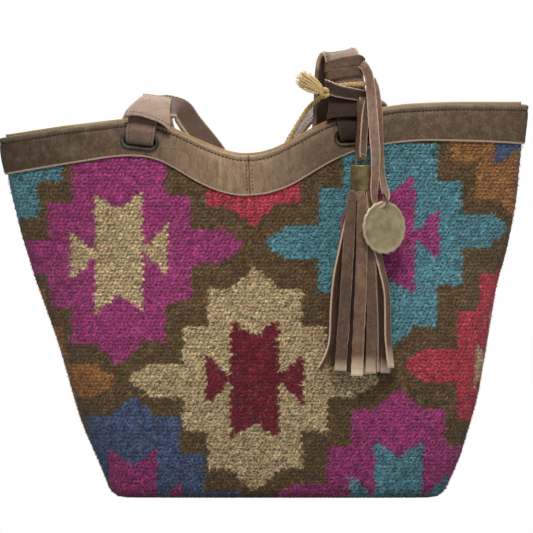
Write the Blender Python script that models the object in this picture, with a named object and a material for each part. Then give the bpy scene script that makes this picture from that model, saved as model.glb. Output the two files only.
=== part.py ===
"""Kilim tote bag with a leather band, two strap handles, a tassel and a medallion.

Metres, +Z up, the front looks along -Y. The bag stands on its boxed base at z = 0.
"""

import math

import bmesh
import bpy
import numpy as np
from mathutils import Matrix, Vector

# Driving dimensions of the body.
SIDE_LEFT = (
    (0.000, -0.141), (0.024, -0.150), (0.073, -0.172), (0.146, -0.193), (0.206, -0.215),
    (0.251, -0.229), (0.292, -0.239), (0.337, -0.246), (0.380, -0.251),
)
SIDE_RIGHT = (
    (0.000, 0.168), (0.016, 0.175), (0.035, 0.184), (0.092, 0.202), (0.148, 0.2115),
    (0.201, 0.2205), (0.232, 0.230), (0.275, 0.2385), (0.341, 0.245), (0.380, 0.248),
)
HALF_DEPTH = ((0.000, 0.070), (0.060, 0.068), (0.200, 0.055), (0.380, 0.038))
RIM_LINE = (
    (-0.250, 0.3370), (-0.187, 0.3465), (-0.132, 0.3530), (-0.106, 0.3534), (-0.085, 0.3453),
    (-0.059, 0.3328), (-0.028, 0.3208), (-0.013, 0.3203), (0.003, 0.3222), (0.018, 0.3287),
    (0.038, 0.3400), (0.059, 0.3515), (0.082, 0.3590), (0.132, 0.3670), (0.174, 0.3690),
    (0.250, 0.3690),
)
BAND_LINE = (
    (-0.250, 0.3020), (-0.187, 0.3123), (-0.133, 0.3207), (-0.103, 0.3191), (-0.085, 0.3102),
    (-0.057, 0.2927), (-0.030, 0.2831), (-0.009, 0.2825), (0.014, 0.2867), (0.034, 0.2963),
    (0.056, 0.3107), (0.082, 0.3238), (0.114, 0.3314), (0.147, 0.3349), (0.202, 0.3340),
    (0.250, 0.3320),
)
BASE_SQUARENESS = 6.0
RIM_ROUNDNESS = (2.0, 1.75)
SQUARE_TO_HEIGHT = 0.26
BASE_FOLD_RADIUS = 0.012
SOFTEN = 0.012

# Sheet thicknesses and the gap kept between layers.
KILIM = 0.0030
BAND = 0.0023
LINING = 0.0010
GAP = 0.0003
LAYER_GAP = 0.0005
LINING_PROUD = 0.0012
BAND_TURN = 0.0030
SEAM_AT = -0.0127

# Facets of the body.
COLUMNS = 22
WALL_ROWS = 5
BAND_ROWS = 2

# Eyelets: where each sits on the wall, and how far it is turned.
EYELET_LEFT = (-0.1153, 0.3337, math.radians(-6.5))
EYELET_RIGHT = (0.0846, 0.3375, math.radians(4.0))
EYELET_LENGTH = 0.0370
EYELET_HEIGHT = 0.0167
EYELET_RIM = 0.0036
EYELET_PROUD = 0.0028
EYELET_BARREL = 0.0007
WASHER = 0.0009

# Straps and laces.
TAB_WIDTH = 0.0262
TAB_WAIST = 0.0215
TAB = 0.0022
TAB_IN_SLEEVE = 0.0115
TAB_LEAN_LEFT = math.radians(1.5)
TAB_LEAN_RIGHT = math.radians(-2.0)
LACE = 0.0018

# Sleeve at each end of a handle: rise above its open edge, width and thickness.
SLEEVE = ((0.0000, 0.0440, 0.0190), (0.0085, 0.0400, 0.0140), (0.0165, 0.0350, 0.0088))
SLEEVE_LEFT = (0.0228, 0.0018, 0.20)
SLEEVE_RIGHT = (0.0270, 0.0000, 0.02)
SLEEVE_BACK_RIGHT = (0.0290, 0.0035, 0.10)

# Wrap of lace round the right end of the front handle.
WRAP_TOP = 0.4060
WRAP_PITCH = 0.0098
WRAP_TURNS = 2.42
WRAP_SKIP = 0.0085
WRAP_LACE_WIDTH = 0.0090

# Tassel, hung at the lower edge of the wrap.
TASSEL_X = 0.0915
TASSEL_Y = -0.0730
TASSEL_PIVOT = Vector((0.0935, -0.0472, 0.3755))
CAP_RADIUS = 0.00965
CAP_TOP = 0.3111
CAP_HEIGHT = 0.0235
CAP_WALL = 0.0010
BAIL_WIRE = 0.0009
BAIL_WIDTH = 0.0088
BAIL_TOP = 0.3225
FRINGE_FOOT = 0.1140
STRIP = 0.0018
STRIP_WIDTH = 0.0110

# Medallion, hung by its ring from the second lace.
MEDALLION_X = 0.1130
MEDALLION_Y = -0.0820
MEDALLION_YAW = math.radians(35.0)
MEDALLION_RADIUS = 0.0250
MEDALLION_THICKNESS = 0.0026
MEDALLION_TOP = 0.2780
RING_RADIUS = 0.0050
RING_WIRE = 0.0009
RING_HOLE = 0.0019
LACE_ROUND = 0.0011
RING_SLACK = 0.0007

# Braided cord.
CORD_RADIUS = 0.00235
CORD_ROUTE = (
    (0.0994, -0.0380, 0.3890), (0.0984, -0.0425, 0.3885), (0.0940, -0.0456, 0.3880),
    (0.0870, -0.0462, 0.3876), (0.0790, -0.0462, 0.3870), (0.0710, -0.0462, 0.3860),
    (0.0632, -0.0462, 0.3842), (0.0570, -0.0440, 0.3800), (0.0540, -0.0395, 0.3752),
    (0.0495, -0.0362, 0.3715), (0.0450, -0.0338, 0.3678), (0.0405, -0.0320, 0.3625),
    (0.0362, -0.0305, 0.3560), (0.0315, -0.0295, 0.3485), (0.0275, -0.0290, 0.3410),
    (0.0240, -0.0288, 0.3325), (0.0215, -0.0288, 0.3235), (0.0200, -0.0290, 0.3140),
    (0.0192, -0.0292, 0.3050),
)
KNOT_RADIUS = 0.0036
BRUSH_ROOT = Vector((0.0572, -0.0507, 0.3800))
BRUSH_TIP = Vector((0.0335, -0.0510, 0.3945))
BRUSH_SPREAD = 0.0085

# The bounding box of the whole bag is centred on the frame in depth.
DEPTH_SHIFT = 0.0115

# Handles: place, width direction, width and thickness of the strap along its middle line.
FRONT_HANDLE = (
    ((-0.0975, -0.0310, 0.3775), (0.98, 0.06, -0.14), 0.032, 0.0060),
    ((-0.0925, -0.0255, 0.3788), (0.95, 0.22, -0.04), 0.031, 0.0050),
    ((-0.0865, -0.0210, 0.3755), (0.86, 0.45, 0.15), 0.030, 0.0050),
    ((-0.0765, -0.0185, 0.3650), (0.66, 0.66, 0.36), 0.030, 0.0050),
    ((-0.0670, -0.0178, 0.3495), (0.57, 0.70, 0.43), 0.030, 0.0050),
    ((-0.0490, -0.0178, 0.3270), (0.55, 0.72, 0.42), 0.030, 0.0050),
    ((-0.0330, -0.0180, 0.3060), (0.42, 0.85, 0.32), 0.030, 0.0050),
    ((-0.0130, -0.0180, 0.2880), (0.22, 0.97, 0.12), 0.030, 0.0050),
    ((0.0080, -0.0180, 0.2800), (0.02, 1.00, 0.02), 0.030, 0.0050),
    ((0.0280, -0.0178, 0.2860), (0.06, 0.99, -0.06), 0.030, 0.0050),
    ((0.0430, -0.0172, 0.3060), (0.20, 0.97, -0.12), 0.030, 0.0050),
    ((0.0515, -0.0160, 0.3350), (0.34, 0.94, -0.08), 0.030, 0.0050),
    ((0.0550, -0.0150, 0.3660), (0.42, 0.90, -0.02), 0.030, 0.0050),
    ((0.0595, -0.0170, 0.3950), (0.62, 0.78, 0.05), 0.031, 0.0050),
    ((0.0650, -0.0220, 0.4120), (0.86, 0.50, 0.10), 0.032, 0.0050),
    ((0.0710, -0.0290, 0.4185), (0.98, 0.12, 0.13), 0.033, 0.0050),
    ((0.0755, -0.0355, 0.4130), (0.99, 0.02, 0.11), 0.033, 0.0050),
    ((0.0785, -0.0382, 0.3990), (0.99, 0.00, 0.09), 0.033, 0.0050),
    ((0.0795, -0.0378, 0.3890), (0.99, 0.00, 0.08), 0.034, 0.0056),
)
BACK_HANDLE = (
    ((-0.1010, 0.0300, 0.3735), (0.99, 0.00, -0.08), 0.031, 0.0058),
    ((-0.0980, 0.0240, 0.3725), (0.98, -0.10, 0.05), 0.030, 0.0050),
    ((-0.0930, 0.0200, 0.3620), (0.88, -0.40, 0.20), 0.030, 0.0050),
    ((-0.0860, 0.0190, 0.3460), (0.72, -0.64, 0.26), 0.030, 0.0050),
    ((-0.0760, 0.0185, 0.3240), (0.56, -0.78, 0.26), 0.030, 0.0050),
    ((-0.0600, 0.0182, 0.3020), (0.36, -0.90, 0.24), 0.030, 0.0050),
    ((-0.0400, 0.0180, 0.2880), (0.12, -0.99, 0.08), 0.030, 0.0050),
    ((-0.0170, 0.0180, 0.2850), (0.00, -1.00, 0.00), 0.030, 0.0050),
    ((0.0030, 0.0182, 0.3000), (-0.02, -1.00, 0.02), 0.030, 0.0050),
    ((0.0170, 0.0190, 0.3230), (-0.04, -1.00, 0.02), 0.030, 0.0050),
    ((0.0290, 0.0200, 0.3420), (-0.04, -1.00, 0.02), 0.030, 0.0050),
    ((0.0400, 0.0210, 0.3580), (-0.02, -1.00, 0.00), 0.030, 0.0050),
    ((0.0500, 0.0215, 0.3705), (0.02, -1.00, -0.04), 0.030, 0.0050),
    ((0.0620, 0.0220, 0.3780), (0.12, -0.98, -0.12), 0.030, 0.0050),
    ((0.0745, 0.0225, 0.3865), (0.35, -0.93, -0.12), 0.030, 0.0050),
    ((0.0850, 0.0240, 0.3915), (0.66, -0.74, -0.08), 0.031, 0.0050),
    ((0.0910, 0.0295, 0.3915), (0.93, -0.36, -0.04), 0.033, 0.0054),
)

# The lace that carries the medallion, down the front strand and back up the other.
MEDALLION_LACE = (
    ((0.0915, -0.0462, 0.4062), (0.95, -0.10, 0.30), 0.0075, 0.0020),
    ((0.0985, -0.0500, 0.3900), (0.98, -0.05, 0.18), 0.0075, 0.0020),
    ((0.1015, -0.0545, 0.3700), (0.99, 0.00, 0.12), 0.0075, 0.0020),
    ((0.1035, -0.0630, 0.3450), (0.99, 0.00, 0.08), 0.0075, 0.0020),
    ((0.1050, -0.0720, 0.3180), (0.99, 0.10, 0.05), 0.0075, 0.0020),
    ((0.1045, -0.0795, 0.2960), (0.92, 0.38, 0.00), 0.0070, 0.0020),
)
MEDALLION_LACE_BACK = (
    ((0.1180, -0.0760, 0.2960), (0.92, 0.38, 0.00), 0.0070, 0.0020),
    ((0.1130, -0.0660, 0.3180), (0.99, 0.10, 0.05), 0.0075, 0.0020),
    ((0.1100, -0.0570, 0.3450), (0.99, 0.00, 0.08), 0.0075, 0.0020),
    ((0.1075, -0.0490, 0.3700), (0.99, 0.00, 0.12), 0.0075, 0.0020),
    ((0.1062, -0.0455, 0.3900), (0.98, -0.05, 0.18), 0.0075, 0.0020),
)

# Fringe strips: root and foot from the tassel's axis, turn in degrees, and how far short each is.
STRIPS = (
    ((-0.0042, -0.0046), (-0.0185, -0.0055), 7.0, 0.006),
    ((0.0000, -0.0050), (-0.0050, -0.0060), -4.0, 0.001),
    ((0.0042, -0.0046), (0.0090, -0.0055), 5.0, 0.000),
    ((-0.0056, 0.0000), (-0.0340, -0.0008), 82.0, 0.004),
    ((0.0056, 0.0000), (0.0262, -0.0006), 94.0, 0.009),
    ((-0.0022, 0.0000), (-0.0125, 0.0000), 3.0, 0.003),
    ((0.0022, 0.0000), (0.0035, 0.0000), -3.0, 0.007),
    ((-0.0042, 0.0046), (-0.0205, 0.0052), -7.0, 0.004),
    ((0.0000, 0.0050), (-0.0075, 0.0060), 4.0, 0.009),
    ((0.0042, 0.0046), (0.0125, 0.0054), 5.0, 0.003),
)
STRIP_FALL = (
    (0.0, 0.0, 0.28), (0.05, 0.10, 0.36), (0.14, 0.26, 0.58), (0.28, 0.45, 1.0), (0.62, 0.76, 1.0),
    (1.0, 1.0, 1.0),
)


def clear_scene():
    for item in list(bpy.data.objects):
        bpy.data.objects.remove(item, do_unlink=True)


def collection(name):
    made = bpy.data.collections.new(name)
    bpy.context.scene.collection.children.link(made)
    return made


def material(name, colour, roughness, metallic=0.0):
    made = bpy.data.materials.new(name)
    made.use_nodes = True
    shader = made.node_tree.nodes["Principled BSDF"]
    shader.inputs["Base Color"].default_value = (*colour, 1.0)
    shader.inputs["Roughness"].default_value = roughness
    shader.inputs["Metallic"].default_value = metallic
    made.diffuse_color = (*colour, 1.0)
    return made


def add_object(name, bm, home, finish, smooth=True):
    """Closes up a bmesh and puts it in the scene as one named object."""
    bmesh.ops.remove_doubles(bm, verts=bm.verts, dist=0.00002)
    bmesh.ops.recalc_face_normals(bm, faces=bm.faces)
    mesh = bpy.data.meshes.new(name)
    bm.to_mesh(mesh)
    bm.free()
    if smooth:
        mesh.shade_smooth()
    made = bpy.data.objects.new(name, mesh)
    home.objects.link(made)
    if finish is not None:
        mesh.materials.append(finish)
    return made


def boolean(target, cutter, operation="DIFFERENCE"):
    """Cuts or joins by another object and applies the result to the target's mesh."""
    modifier = target.modifiers.new("boolean", "BOOLEAN")
    modifier.operation = operation
    modifier.solver = "EXACT"
    modifier.object = cutter
    depsgraph = bpy.context.evaluated_depsgraph_get()
    result = bpy.data.meshes.new_from_object(target.evaluated_get(depsgraph))
    target.modifiers.clear()
    bm = bmesh.new()
    bm.from_mesh(result)
    bmesh.ops.remove_doubles(bm, verts=bm.verts, dist=0.000005)
    bmesh.ops.triangulate(bm, faces=bm.faces)
    bm.to_mesh(result)
    bm.free()
    target.data = result


def soft_line(at, line):
    """Reads a line of points at one place, with its corners softened."""
    places = [p[0] for p in line]
    values = [p[1] for p in line]
    around = np.linspace(at - SOFTEN, at + SOFTEN, 9)
    return float(np.mean(np.interp(around, places, values)))


def half_section(z, inset):
    """The front half outline of the bag at one height, from its left side to its right."""
    left = soft_line(z, SIDE_LEFT) + inset
    right = soft_line(z, SIDE_RIGHT) - inset
    depth = soft_line(z, HALF_DEPTH) - inset
    rise = min(1.0, max(0.0, z / SQUARE_TO_HEIGHT))
    rise = rise * rise * (3.0 - 2.0 * rise)
    across = BASE_SQUARENESS + (RIM_ROUNDNESS[0] - BASE_SQUARENESS) * rise
    along = BASE_SQUARENESS + (RIM_ROUNDNESS[1] - BASE_SQUARENESS) * rise
    turn = np.linspace(0.0, math.pi, 361)
    middle, reach = (left + right) / 2.0, (right - left) / 2.0
    x = middle - reach * np.sign(np.cos(turn)) * np.abs(np.cos(turn)) ** (2.0 / across)
    y = -depth * np.abs(np.sin(turn)) ** (2.0 / along)
    y[0] = y[-1] = 0.0
    return x, y


def skin_point(share, z, inset=0.0):
    """A point of the outer skin: share 0..1 runs along the front, 1..2 back along the rear."""
    share = share % 2.0
    back = share > 1.0
    along = 2.0 - share if back else share
    x, y = half_section(z, inset)
    length = np.concatenate(([0.0], np.cumsum(np.hypot(np.diff(x), np.diff(y)))))
    at = along * length[-1]
    px, py = np.interp(at, length, x), np.interp(at, length, y)
    return Vector((float(px), float(-py if back else py), z))


def skin_normal(share, z):
    step = 0.012
    rise = 0.004
    across = skin_point(share + step, z) - skin_point(share - step, z)
    upward = skin_point(share, z + rise) - skin_point(share, max(0.0, z - rise))
    return across.cross(upward).normalized()


def skin(share, level, off):
    """Outer skin moved outward by off; level is (height, fold angle round the base edge)."""
    z, fold = level
    inset = BASE_FOLD_RADIUS * (1.0 - math.sin(fold))
    out = skin_normal(share, max(z, BASE_FOLD_RADIUS))
    lean = math.cos(fold)
    if lean > 1e-6:
        flat = Vector((out.x, out.y, 0.0)).normalized()
        out = (flat * math.sin(fold) + Vector((0.0, 0.0, -lean))).normalized()
    return skin_point(share, z, inset) + out * off


def share_at(x, z, back=False):
    """Finds the share of the front (or rear) half at which the skin stands at x."""
    low, high = 0.0, 1.0
    for _ in range(40):
        middle = (low + high) / 2.0
        if skin_point(middle, z).x < x:
            low = middle
        else:
            high = middle
    return 2.0 - low if back else low


def rim_height(share):
    height = 0.34
    for _ in range(6):
        height = soft_line(skin_point(share, height).x, RIM_LINE)
    return height


def band_height(share):
    height = 0.30
    for _ in range(6):
        height = soft_line(skin_point(share, height).x, BAND_LINE)
    return height


def column_levels(share, top):
    """Levels from the base edge up one column; top is the height where the sheet ends."""
    upright = math.pi / 2.0
    levels = [
        (BASE_FOLD_RADIUS * (1.0 - math.cos(angle)), angle)
        for angle in (0.0, upright * 0.5, upright)
    ]
    low, seam, rim = BASE_FOLD_RADIUS, band_height(share), rim_height(share)
    for row in range(1, WALL_ROWS + 1):
        levels.append((low + (seam - low) * row / WALL_ROWS, upright))
    for row in range(1, BAND_ROWS):
        levels.append((seam + (rim - seam) * row / BAND_ROWS, upright))
    levels.append((rim + top, upright))
    return levels


def bridge(bm, rings, closed_ring=True):
    """Joins rows of vertices by quads."""
    for first, second in zip(rings, rings[1:]):
        count = len(first)
        last = count if closed_ring else count - 1
        for i in range(last):
            j = (i + 1) % count
            corners = []
            for vert in (first[i], first[j], second[j], second[i]):
                if vert not in corners:
                    corners.append(vert)
            if len(corners) > 2:
                bm.faces.new(corners)


def grid_faces(bm, columns):
    """Triangles over columns of vertices, with the diagonal always the same way."""
    for first, second in zip(columns, columns[1:]):
        for i in range(len(first) - 1):
            for corners in (
                (first[i], second[i], second[i + 1]), (first[i], second[i + 1], first[i + 1])
            ):
                if len(set(corners)) == 3:
                    bm.faces.new(corners)


def close_sheet(bm, outside, inside):
    """Faces of both sides of a sheet, given as matching columns of vertices, and its edges."""
    grid_faces(bm, outside)
    grid_faces(bm, inside)
    for row in (0, -1):
        grid_faces(bm, [[out[row], into[row]] for out, into in zip(outside, inside)])


def seam_point(share, z):
    """The seam along the middle of the base, shared out evenly from side to side."""
    left = skin_point(0.0, 0.0, BASE_FOLD_RADIUS).x
    right = skin_point(1.0, 0.0, BASE_FOLD_RADIUS).x
    along = 2.0 - share if share > 1.0 else share
    return Vector((left + (right - left) * along, 0.0, z))


def wall(name, shares, outer, inner, top, home, finish, side):
    """One half of a sewn bag: a wall and its half of the base, as a closed sheet."""
    bm = bmesh.new()
    sheets = {outer: [], inner: []}
    for share in shares:
        levels = column_levels(share, top)
        for off, columns in sheets.items():
            column = [seam_point(share, -off)] + [skin(share, level, off) for level in levels]
            for point in column:
                if abs(point.y) < GAP / 2.0:
                    point.y = side * GAP / 2.0
            columns.append([bm.verts.new(point) for point in column])
    close_sheet(bm, sheets[outer], sheets[inner])
    for end in (0, -1):
        grid_faces(bm, [sheets[outer][end], sheets[inner][end]])
    return add_object(name, bm, home, finish)


def lining(shares, home, finish):
    """The sewn-in lining: an open sack just inside the woven walls."""
    bm = bmesh.new()
    outer = -KILIM - LAYER_GAP
    inner = outer - LINING
    sheets = {outer: [], inner: []}
    for share in shares:
        levels = column_levels(share, LINING_PROUD)
        for off, columns in sheets.items():
            column = [seam_point(share, -off)] + [skin(share, level, off) for level in levels]
            columns.append([bm.verts.new(point) for point in column])
    for columns in sheets.values():
        grid_faces(bm, columns + columns[:1])
    rim = [[out[-1], into[-1]] for out, into in zip(sheets[outer], sheets[inner])]
    grid_faces(bm, rim + rim[:1])
    return add_object("lining", bm, home, finish)


def band(name, shares, home, finish):
    """A leather band: outer leaf, and its top edge turned over the woven wall."""
    bm = bmesh.new()
    outside, inside, turned = [], [], []
    upright = math.pi / 2.0
    for share in shares:
        seam, rim = band_height(share), rim_height(share)
        heights = [seam + (rim - seam) * row / BAND_ROWS for row in range(BAND_ROWS)]
        lip = rim - BAND_TURN + LAYER_GAP
        for columns, points in (
            (outside, [skin(share, (z, upright), LAYER_GAP + BAND) for z in heights + [rim]]),
            (inside, [skin(share, (z, upright), LAYER_GAP) for z in heights + [lip]]),
            (turned, [skin(share, (z, upright), -KILIM) for z in (lip, rim)]),
        ):
            columns.append([bm.verts.new(point) for point in points])
    grid_faces(bm, outside)
    grid_faces(bm, inside)
    grid_faces(bm, turned)
    grid_faces(bm, [[out[0], into[0]] for out, into in zip(outside, inside)])
    grid_faces(bm, [[into[-1], turn[0]] for into, turn in zip(inside, turned)])
    grid_faces(bm, [[turn[1], out[-1]] for turn, out in zip(turned, outside)])
    for end in (0, -1):
        grid_faces(bm, [outside[end], inside[end]])
        bm.faces.new((outside[end][-1], inside[end][-1], turned[end][0], turned[end][1]))
    return add_object(name, bm, home, finish)


def body_columns(seam):
    """Shares of the columns all round, with one on each centre seam."""
    front = [step / COLUMNS for step in range(COLUMNS)]
    nearest = min(range(COLUMNS), key=lambda step: abs(front[step] - seam))
    front[nearest] = seam
    return front + [1.0] + [2.0 - share for share in front[:0:-1]]


def shares_between(columns, start, end):
    """The body's own columns between two shares, with the two ends added."""
    inner = [share + turn for turn in (0.0, 2.0) for share in columns]
    margin = 0.3 / COLUMNS
    return [start] + [share for share in inner if start + margin < share < end - margin] + [end]


def smooth_path(keys, steps):
    """A Catmull-Rom run through keys of (place, width direction, width, thickness)."""
    rows = np.array([[*k[0], *k[1], k[2], k[3]] for k in keys])
    ends = np.vstack((2 * rows[0] - rows[1], rows, 2 * rows[-1] - rows[-2]))
    made = []
    for i in range(len(rows) - 1):
        a, b, c, d = ends[i], ends[i + 1], ends[i + 2], ends[i + 3]
        for step in range(steps):
            t = step / steps
            made.append(
                0.5 * (2 * b + (c - a) * t + (2 * a - 5 * b + 4 * c - d) * t * t
                       + (3 * b - a - 3 * c + d) * t ** 3)
            )
    made.append(rows[-1])
    return made


def ribbon(name, keys, steps, home, finish, shape):
    """A strap or lace: a section swept along a middle line with its own width direction."""
    bm = bmesh.new()
    path = smooth_path(keys, steps)
    places = [Vector(row[0:3]) for row in path]
    rings = []
    for i, row in enumerate(path):
        ahead = places[min(i + 1, len(path) - 1)] - places[max(i - 1, 0)]
        along = ahead.normalized()
        wide = Vector(row[3:6])
        wide = (wide - along * wide.dot(along)).normalized()
        deep = along.cross(wide)
        ring = []
        for u, v in shape:
            ring.append(bm.verts.new(places[i] + wide * (u * row[6]) + deep * (v * row[7])))
        rings.append(ring)
    bridge(bm, rings)
    bm.faces.new(rings[0])
    bm.faces.new(rings[-1])
    return add_object(name, bm, home, finish)


STRAP_SHAPE = (
    (-0.5, -0.18), (-0.44, -0.5), (0.44, -0.5), (0.5, -0.18),
    (0.5, 0.18), (0.44, 0.5), (-0.44, 0.5), (-0.5, 0.18),
)
LACE_SHAPE = ((-0.5, -0.5), (0.5, -0.5), (0.5, 0.5), (-0.5, 0.5))


def eyelet_frame(where, back):
    """Place of an eyelet on the wall: columns are right, up, outward and the centre."""
    x, z, roll = where
    share = share_at(x, z, back)
    centre = skin_point(share, z)
    out = skin_normal(share, z)
    up = Vector((0.0, 0.0, 1.0))
    up = (up - out * up.dot(out)).normalized()
    right = up.cross(out)
    if back:
        roll = -roll
    right, up = (
        right * math.cos(roll) + up * math.sin(roll),
        up * math.cos(roll) - right * math.sin(roll),
    )
    made = Matrix((right, up, out)).transposed().to_4x4()
    made.translation = centre
    return made


def oval(length, height, steps=7):
    """Points and outward directions round a stadium, centred, in its own plane."""
    radius = height / 2.0
    half = length / 2.0 - radius
    made = []
    for centre, start in ((half, -90.0), (-half, 90.0)):
        for step in range(steps + 1):
            angle = math.radians(start + 180.0 * step / steps)
            way = (math.cos(angle), math.sin(angle))
            made.append(((centre + radius * way[0], radius * way[1]), way))
    return made


def oval_ring(name, frame, length, height, profile, home, finish):
    """Sweeps a closed profile of (outward, along the frame's normal) round a stadium."""
    bm = bmesh.new()
    rings = []
    for (x, y), way in oval(length, height):
        ring = []
        for out, depth in profile:
            ring.append(bm.verts.new(frame @ Vector((x + way[0] * out, y + way[1] * out, depth))))
        rings.append(ring)
    rings.append(rings[0])
    bridge(bm, rings)
    return add_object(name, bm, home, finish)


def slot_cutter(name, frame, home):
    """A stadium prism right through all the layers at an eyelet."""
    bm = bmesh.new()
    clear = EYELET_BARREL + GAP
    length = EYELET_LENGTH - 2.0 * EYELET_RIM + 2.0 * clear
    height = EYELET_HEIGHT - 2.0 * EYELET_RIM + 2.0 * clear
    rings = []
    for depth in (-0.014, 0.012):
        rings.append([bm.verts.new(frame @ Vector((x, y, depth))) for (x, y), _ in oval(length, height)])
    bridge(bm, rings)
    bm.faces.new(rings[0])
    bm.faces.new(rings[-1])
    return add_object(name, bm, home, None, smooth=False)


def eyelet(name, frame, home, brass):
    """Front ring with the barrel that lines the slot."""
    face = LAYER_GAP + BAND + GAP
    tail = -(KILIM + LAYER_GAP + LINING + GAP + WASHER)
    bore = EYELET_BARREL
    profile = (
        (0.0, tail), (0.0, face + EYELET_PROUD * 0.55), (EYELET_RIM * 0.25, face + EYELET_PROUD * 0.95),
        (EYELET_RIM * 0.6, face + EYELET_PROUD), (EYELET_RIM * 0.9, face + EYELET_PROUD * 0.7),
        (EYELET_RIM, face), (bore, face), (bore, tail),
    )
    inner_length = EYELET_LENGTH - 2.0 * EYELET_RIM
    inner_height = EYELET_HEIGHT - 2.0 * EYELET_RIM
    return oval_ring(name, frame, inner_length, inner_height, profile, home, brass)


def backing_plate(name, frame, home, brass):
    """Flat oval washer behind the layers, round the eyelet's barrel."""
    near = -(KILIM + LAYER_GAP + LINING + GAP)
    far = near - WASHER
    inner = EYELET_BARREL + GAP
    outer = EYELET_RIM * 0.9
    profile = ((inner, near), (outer, near), (outer, far), (inner, far))
    inner_length = EYELET_LENGTH - 2.0 * EYELET_RIM
    inner_height = EYELET_HEIGHT - 2.0 * EYELET_RIM
    return oval_ring(name, frame, inner_length, inner_height, profile, home, brass)


def lift_along(frame, up, lean, out, aside=0.0):
    """A point above an eyelet, along the leaning tab."""
    return tuple(frame @ Vector((up * math.tan(lean) + aside, up, out)))


def width_way(frame, lean):
    """The tab's width direction, always towards the bag's right."""
    wide = frame.to_3x3() @ Vector((1.0, -math.tan(lean), 0.0))
    return tuple(wide if wide.x > 0.0 else -wide)


def tab_keys(frame, lean, sleeve_edge):
    """The tab's middle line: down the outside, through the slot, up the inside."""
    outside = LAYER_GAP + BAND + GAP + EYELET_PROUD
    inside = KILIM + LAYER_GAP + LINING + GAP + WASHER
    half = TAB / 2.0
    reach = sleeve_edge + TAB_IN_SLEEVE
    bend = (
        (reach, 0.0018, 1), (reach - 0.0055, 0.0026, 1), (sleeve_edge, outside * 0.72, 1),
        (sleeve_edge * 0.62, outside * 0.95, 1), (0.0094, outside + half + GAP * 7, 0),
        (0.0050, outside + half + GAP * 3, 0), (0.0022, outside * 0.62, 0), (0.0006, 0.0010, 0),
        (0.0004, -0.0030, 0), (0.0020, -inside - half, 0), (0.0058, -inside - half - 0.0014, 0),
        (0.0105, -inside - half - 0.0012, 1), (sleeve_edge * 0.70, -inside - half - 0.0006, 1),
        (sleeve_edge, -inside - half * 0.8, 1), (reach - 0.0055, -0.0036, 1), (reach, -0.0022, 1),
    )
    wide = width_way(frame, lean)
    return [
        (lift_along(frame, up, lean, out), wide, TAB_WIDTH if full else TAB_WAIST, TAB)
        for up, out, full in bend
    ]


def pocket_keys(frame, lean, sleeve_edge):
    """Room in a sleeve for both legs of a tab, from below its open edge upwards."""
    outside = LAYER_GAP + BAND + GAP + EYELET_PROUD
    inside = KILIM + LAYER_GAP + LINING + GAP + WASHER
    clear = TAB / 2.0 + GAP * 2.0
    reach = sleeve_edge + TAB_IN_SLEEVE
    wide = width_way(frame, lean)
    broad = TAB_WIDTH + 2.0 * GAP + 0.0006
    return [
        (lift_along(frame, up, lean, (front - rear) / 2.0), wide, broad, front + rear)
        for up, front, rear in (
            (sleeve_edge - 0.008, outside + clear, inside + TAB + clear),
            (sleeve_edge + 0.0005, outside * 0.72 + clear, inside + TAB * 0.4 + clear),
            (reach - 0.0050, 0.0027 + clear, 0.0037 + clear),
            (reach + 0.0014, 0.0018 + clear, 0.0022 + clear),
        )
    ]


def sleeve_keys(frame, lean, sleeve):
    """The end of a handle above its eyelet, from the open edge upwards."""
    edge, aside, slant = sleeve
    facing = 1.0 if frame.to_3x3().col[0].x > 0.0 else -1.0
    wide = width_way(frame, lean)
    keys = []
    for (rise, width, thick), out in zip(SLEEVE, (-0.0014, -0.0010, -0.0004)):
        aside_now = facing * (aside + slant * rise)
        keys.append((lift_along(frame, edge + rise, lean, out, aside_now), wide, width, thick))
    return keys


def wrap_lace(strap_path, home, leather):
    """Turns of lace round the handle's front leg, the last one set lower than the rest."""
    leg = [row for row in strap_path if row[1] < -0.030 and row[0] > 0.0][::-1]
    heights = [row[2] for row in leg]
    keys = []
    steps = 40
    for step in range(steps + 1):
        turn = WRAP_TURNS * step / steps
        z = WRAP_TOP - WRAP_PITCH * turn - WRAP_SKIP * max(0.0, min(1.0, (turn - 1.3) / 0.45))
        middle, depth, width = (
            float(np.interp(z, heights, [row[i] for row in leg])) for i in (0, 1, 6)
        )
        low, high = z - WRAP_LACE_WIDTH / 2.0, z + WRAP_LACE_WIDTH / 2.0
        thick = float(np.interp(low, heights, [row[7] for row in leg]))
        along = [float(np.diff(np.interp((low, high), heights, [row[i] for row in leg]))[0]) for i in (0, 1)]
        angle = math.radians(-60.0) - turn * 2.0 * math.pi
        reach = width / 2.0 + LACE / 2.0 + GAP * 5.0
        through = thick / 2.0 + LACE / 2.0 + GAP * 6.0
        x = reach * max(-1.0, min(1.0, 1.06 * math.cos(angle)))
        y = through * max(-1.0, min(1.0, 3.0 * math.sin(angle)))
        keys.append(((middle + x, depth + y, z + 0.10 * x), (*along, WRAP_LACE_WIDTH), WRAP_LACE_WIDTH, LACE))
    return ribbon("wrap_lace", keys, 1, home, leather, LACE_SHAPE)


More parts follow.
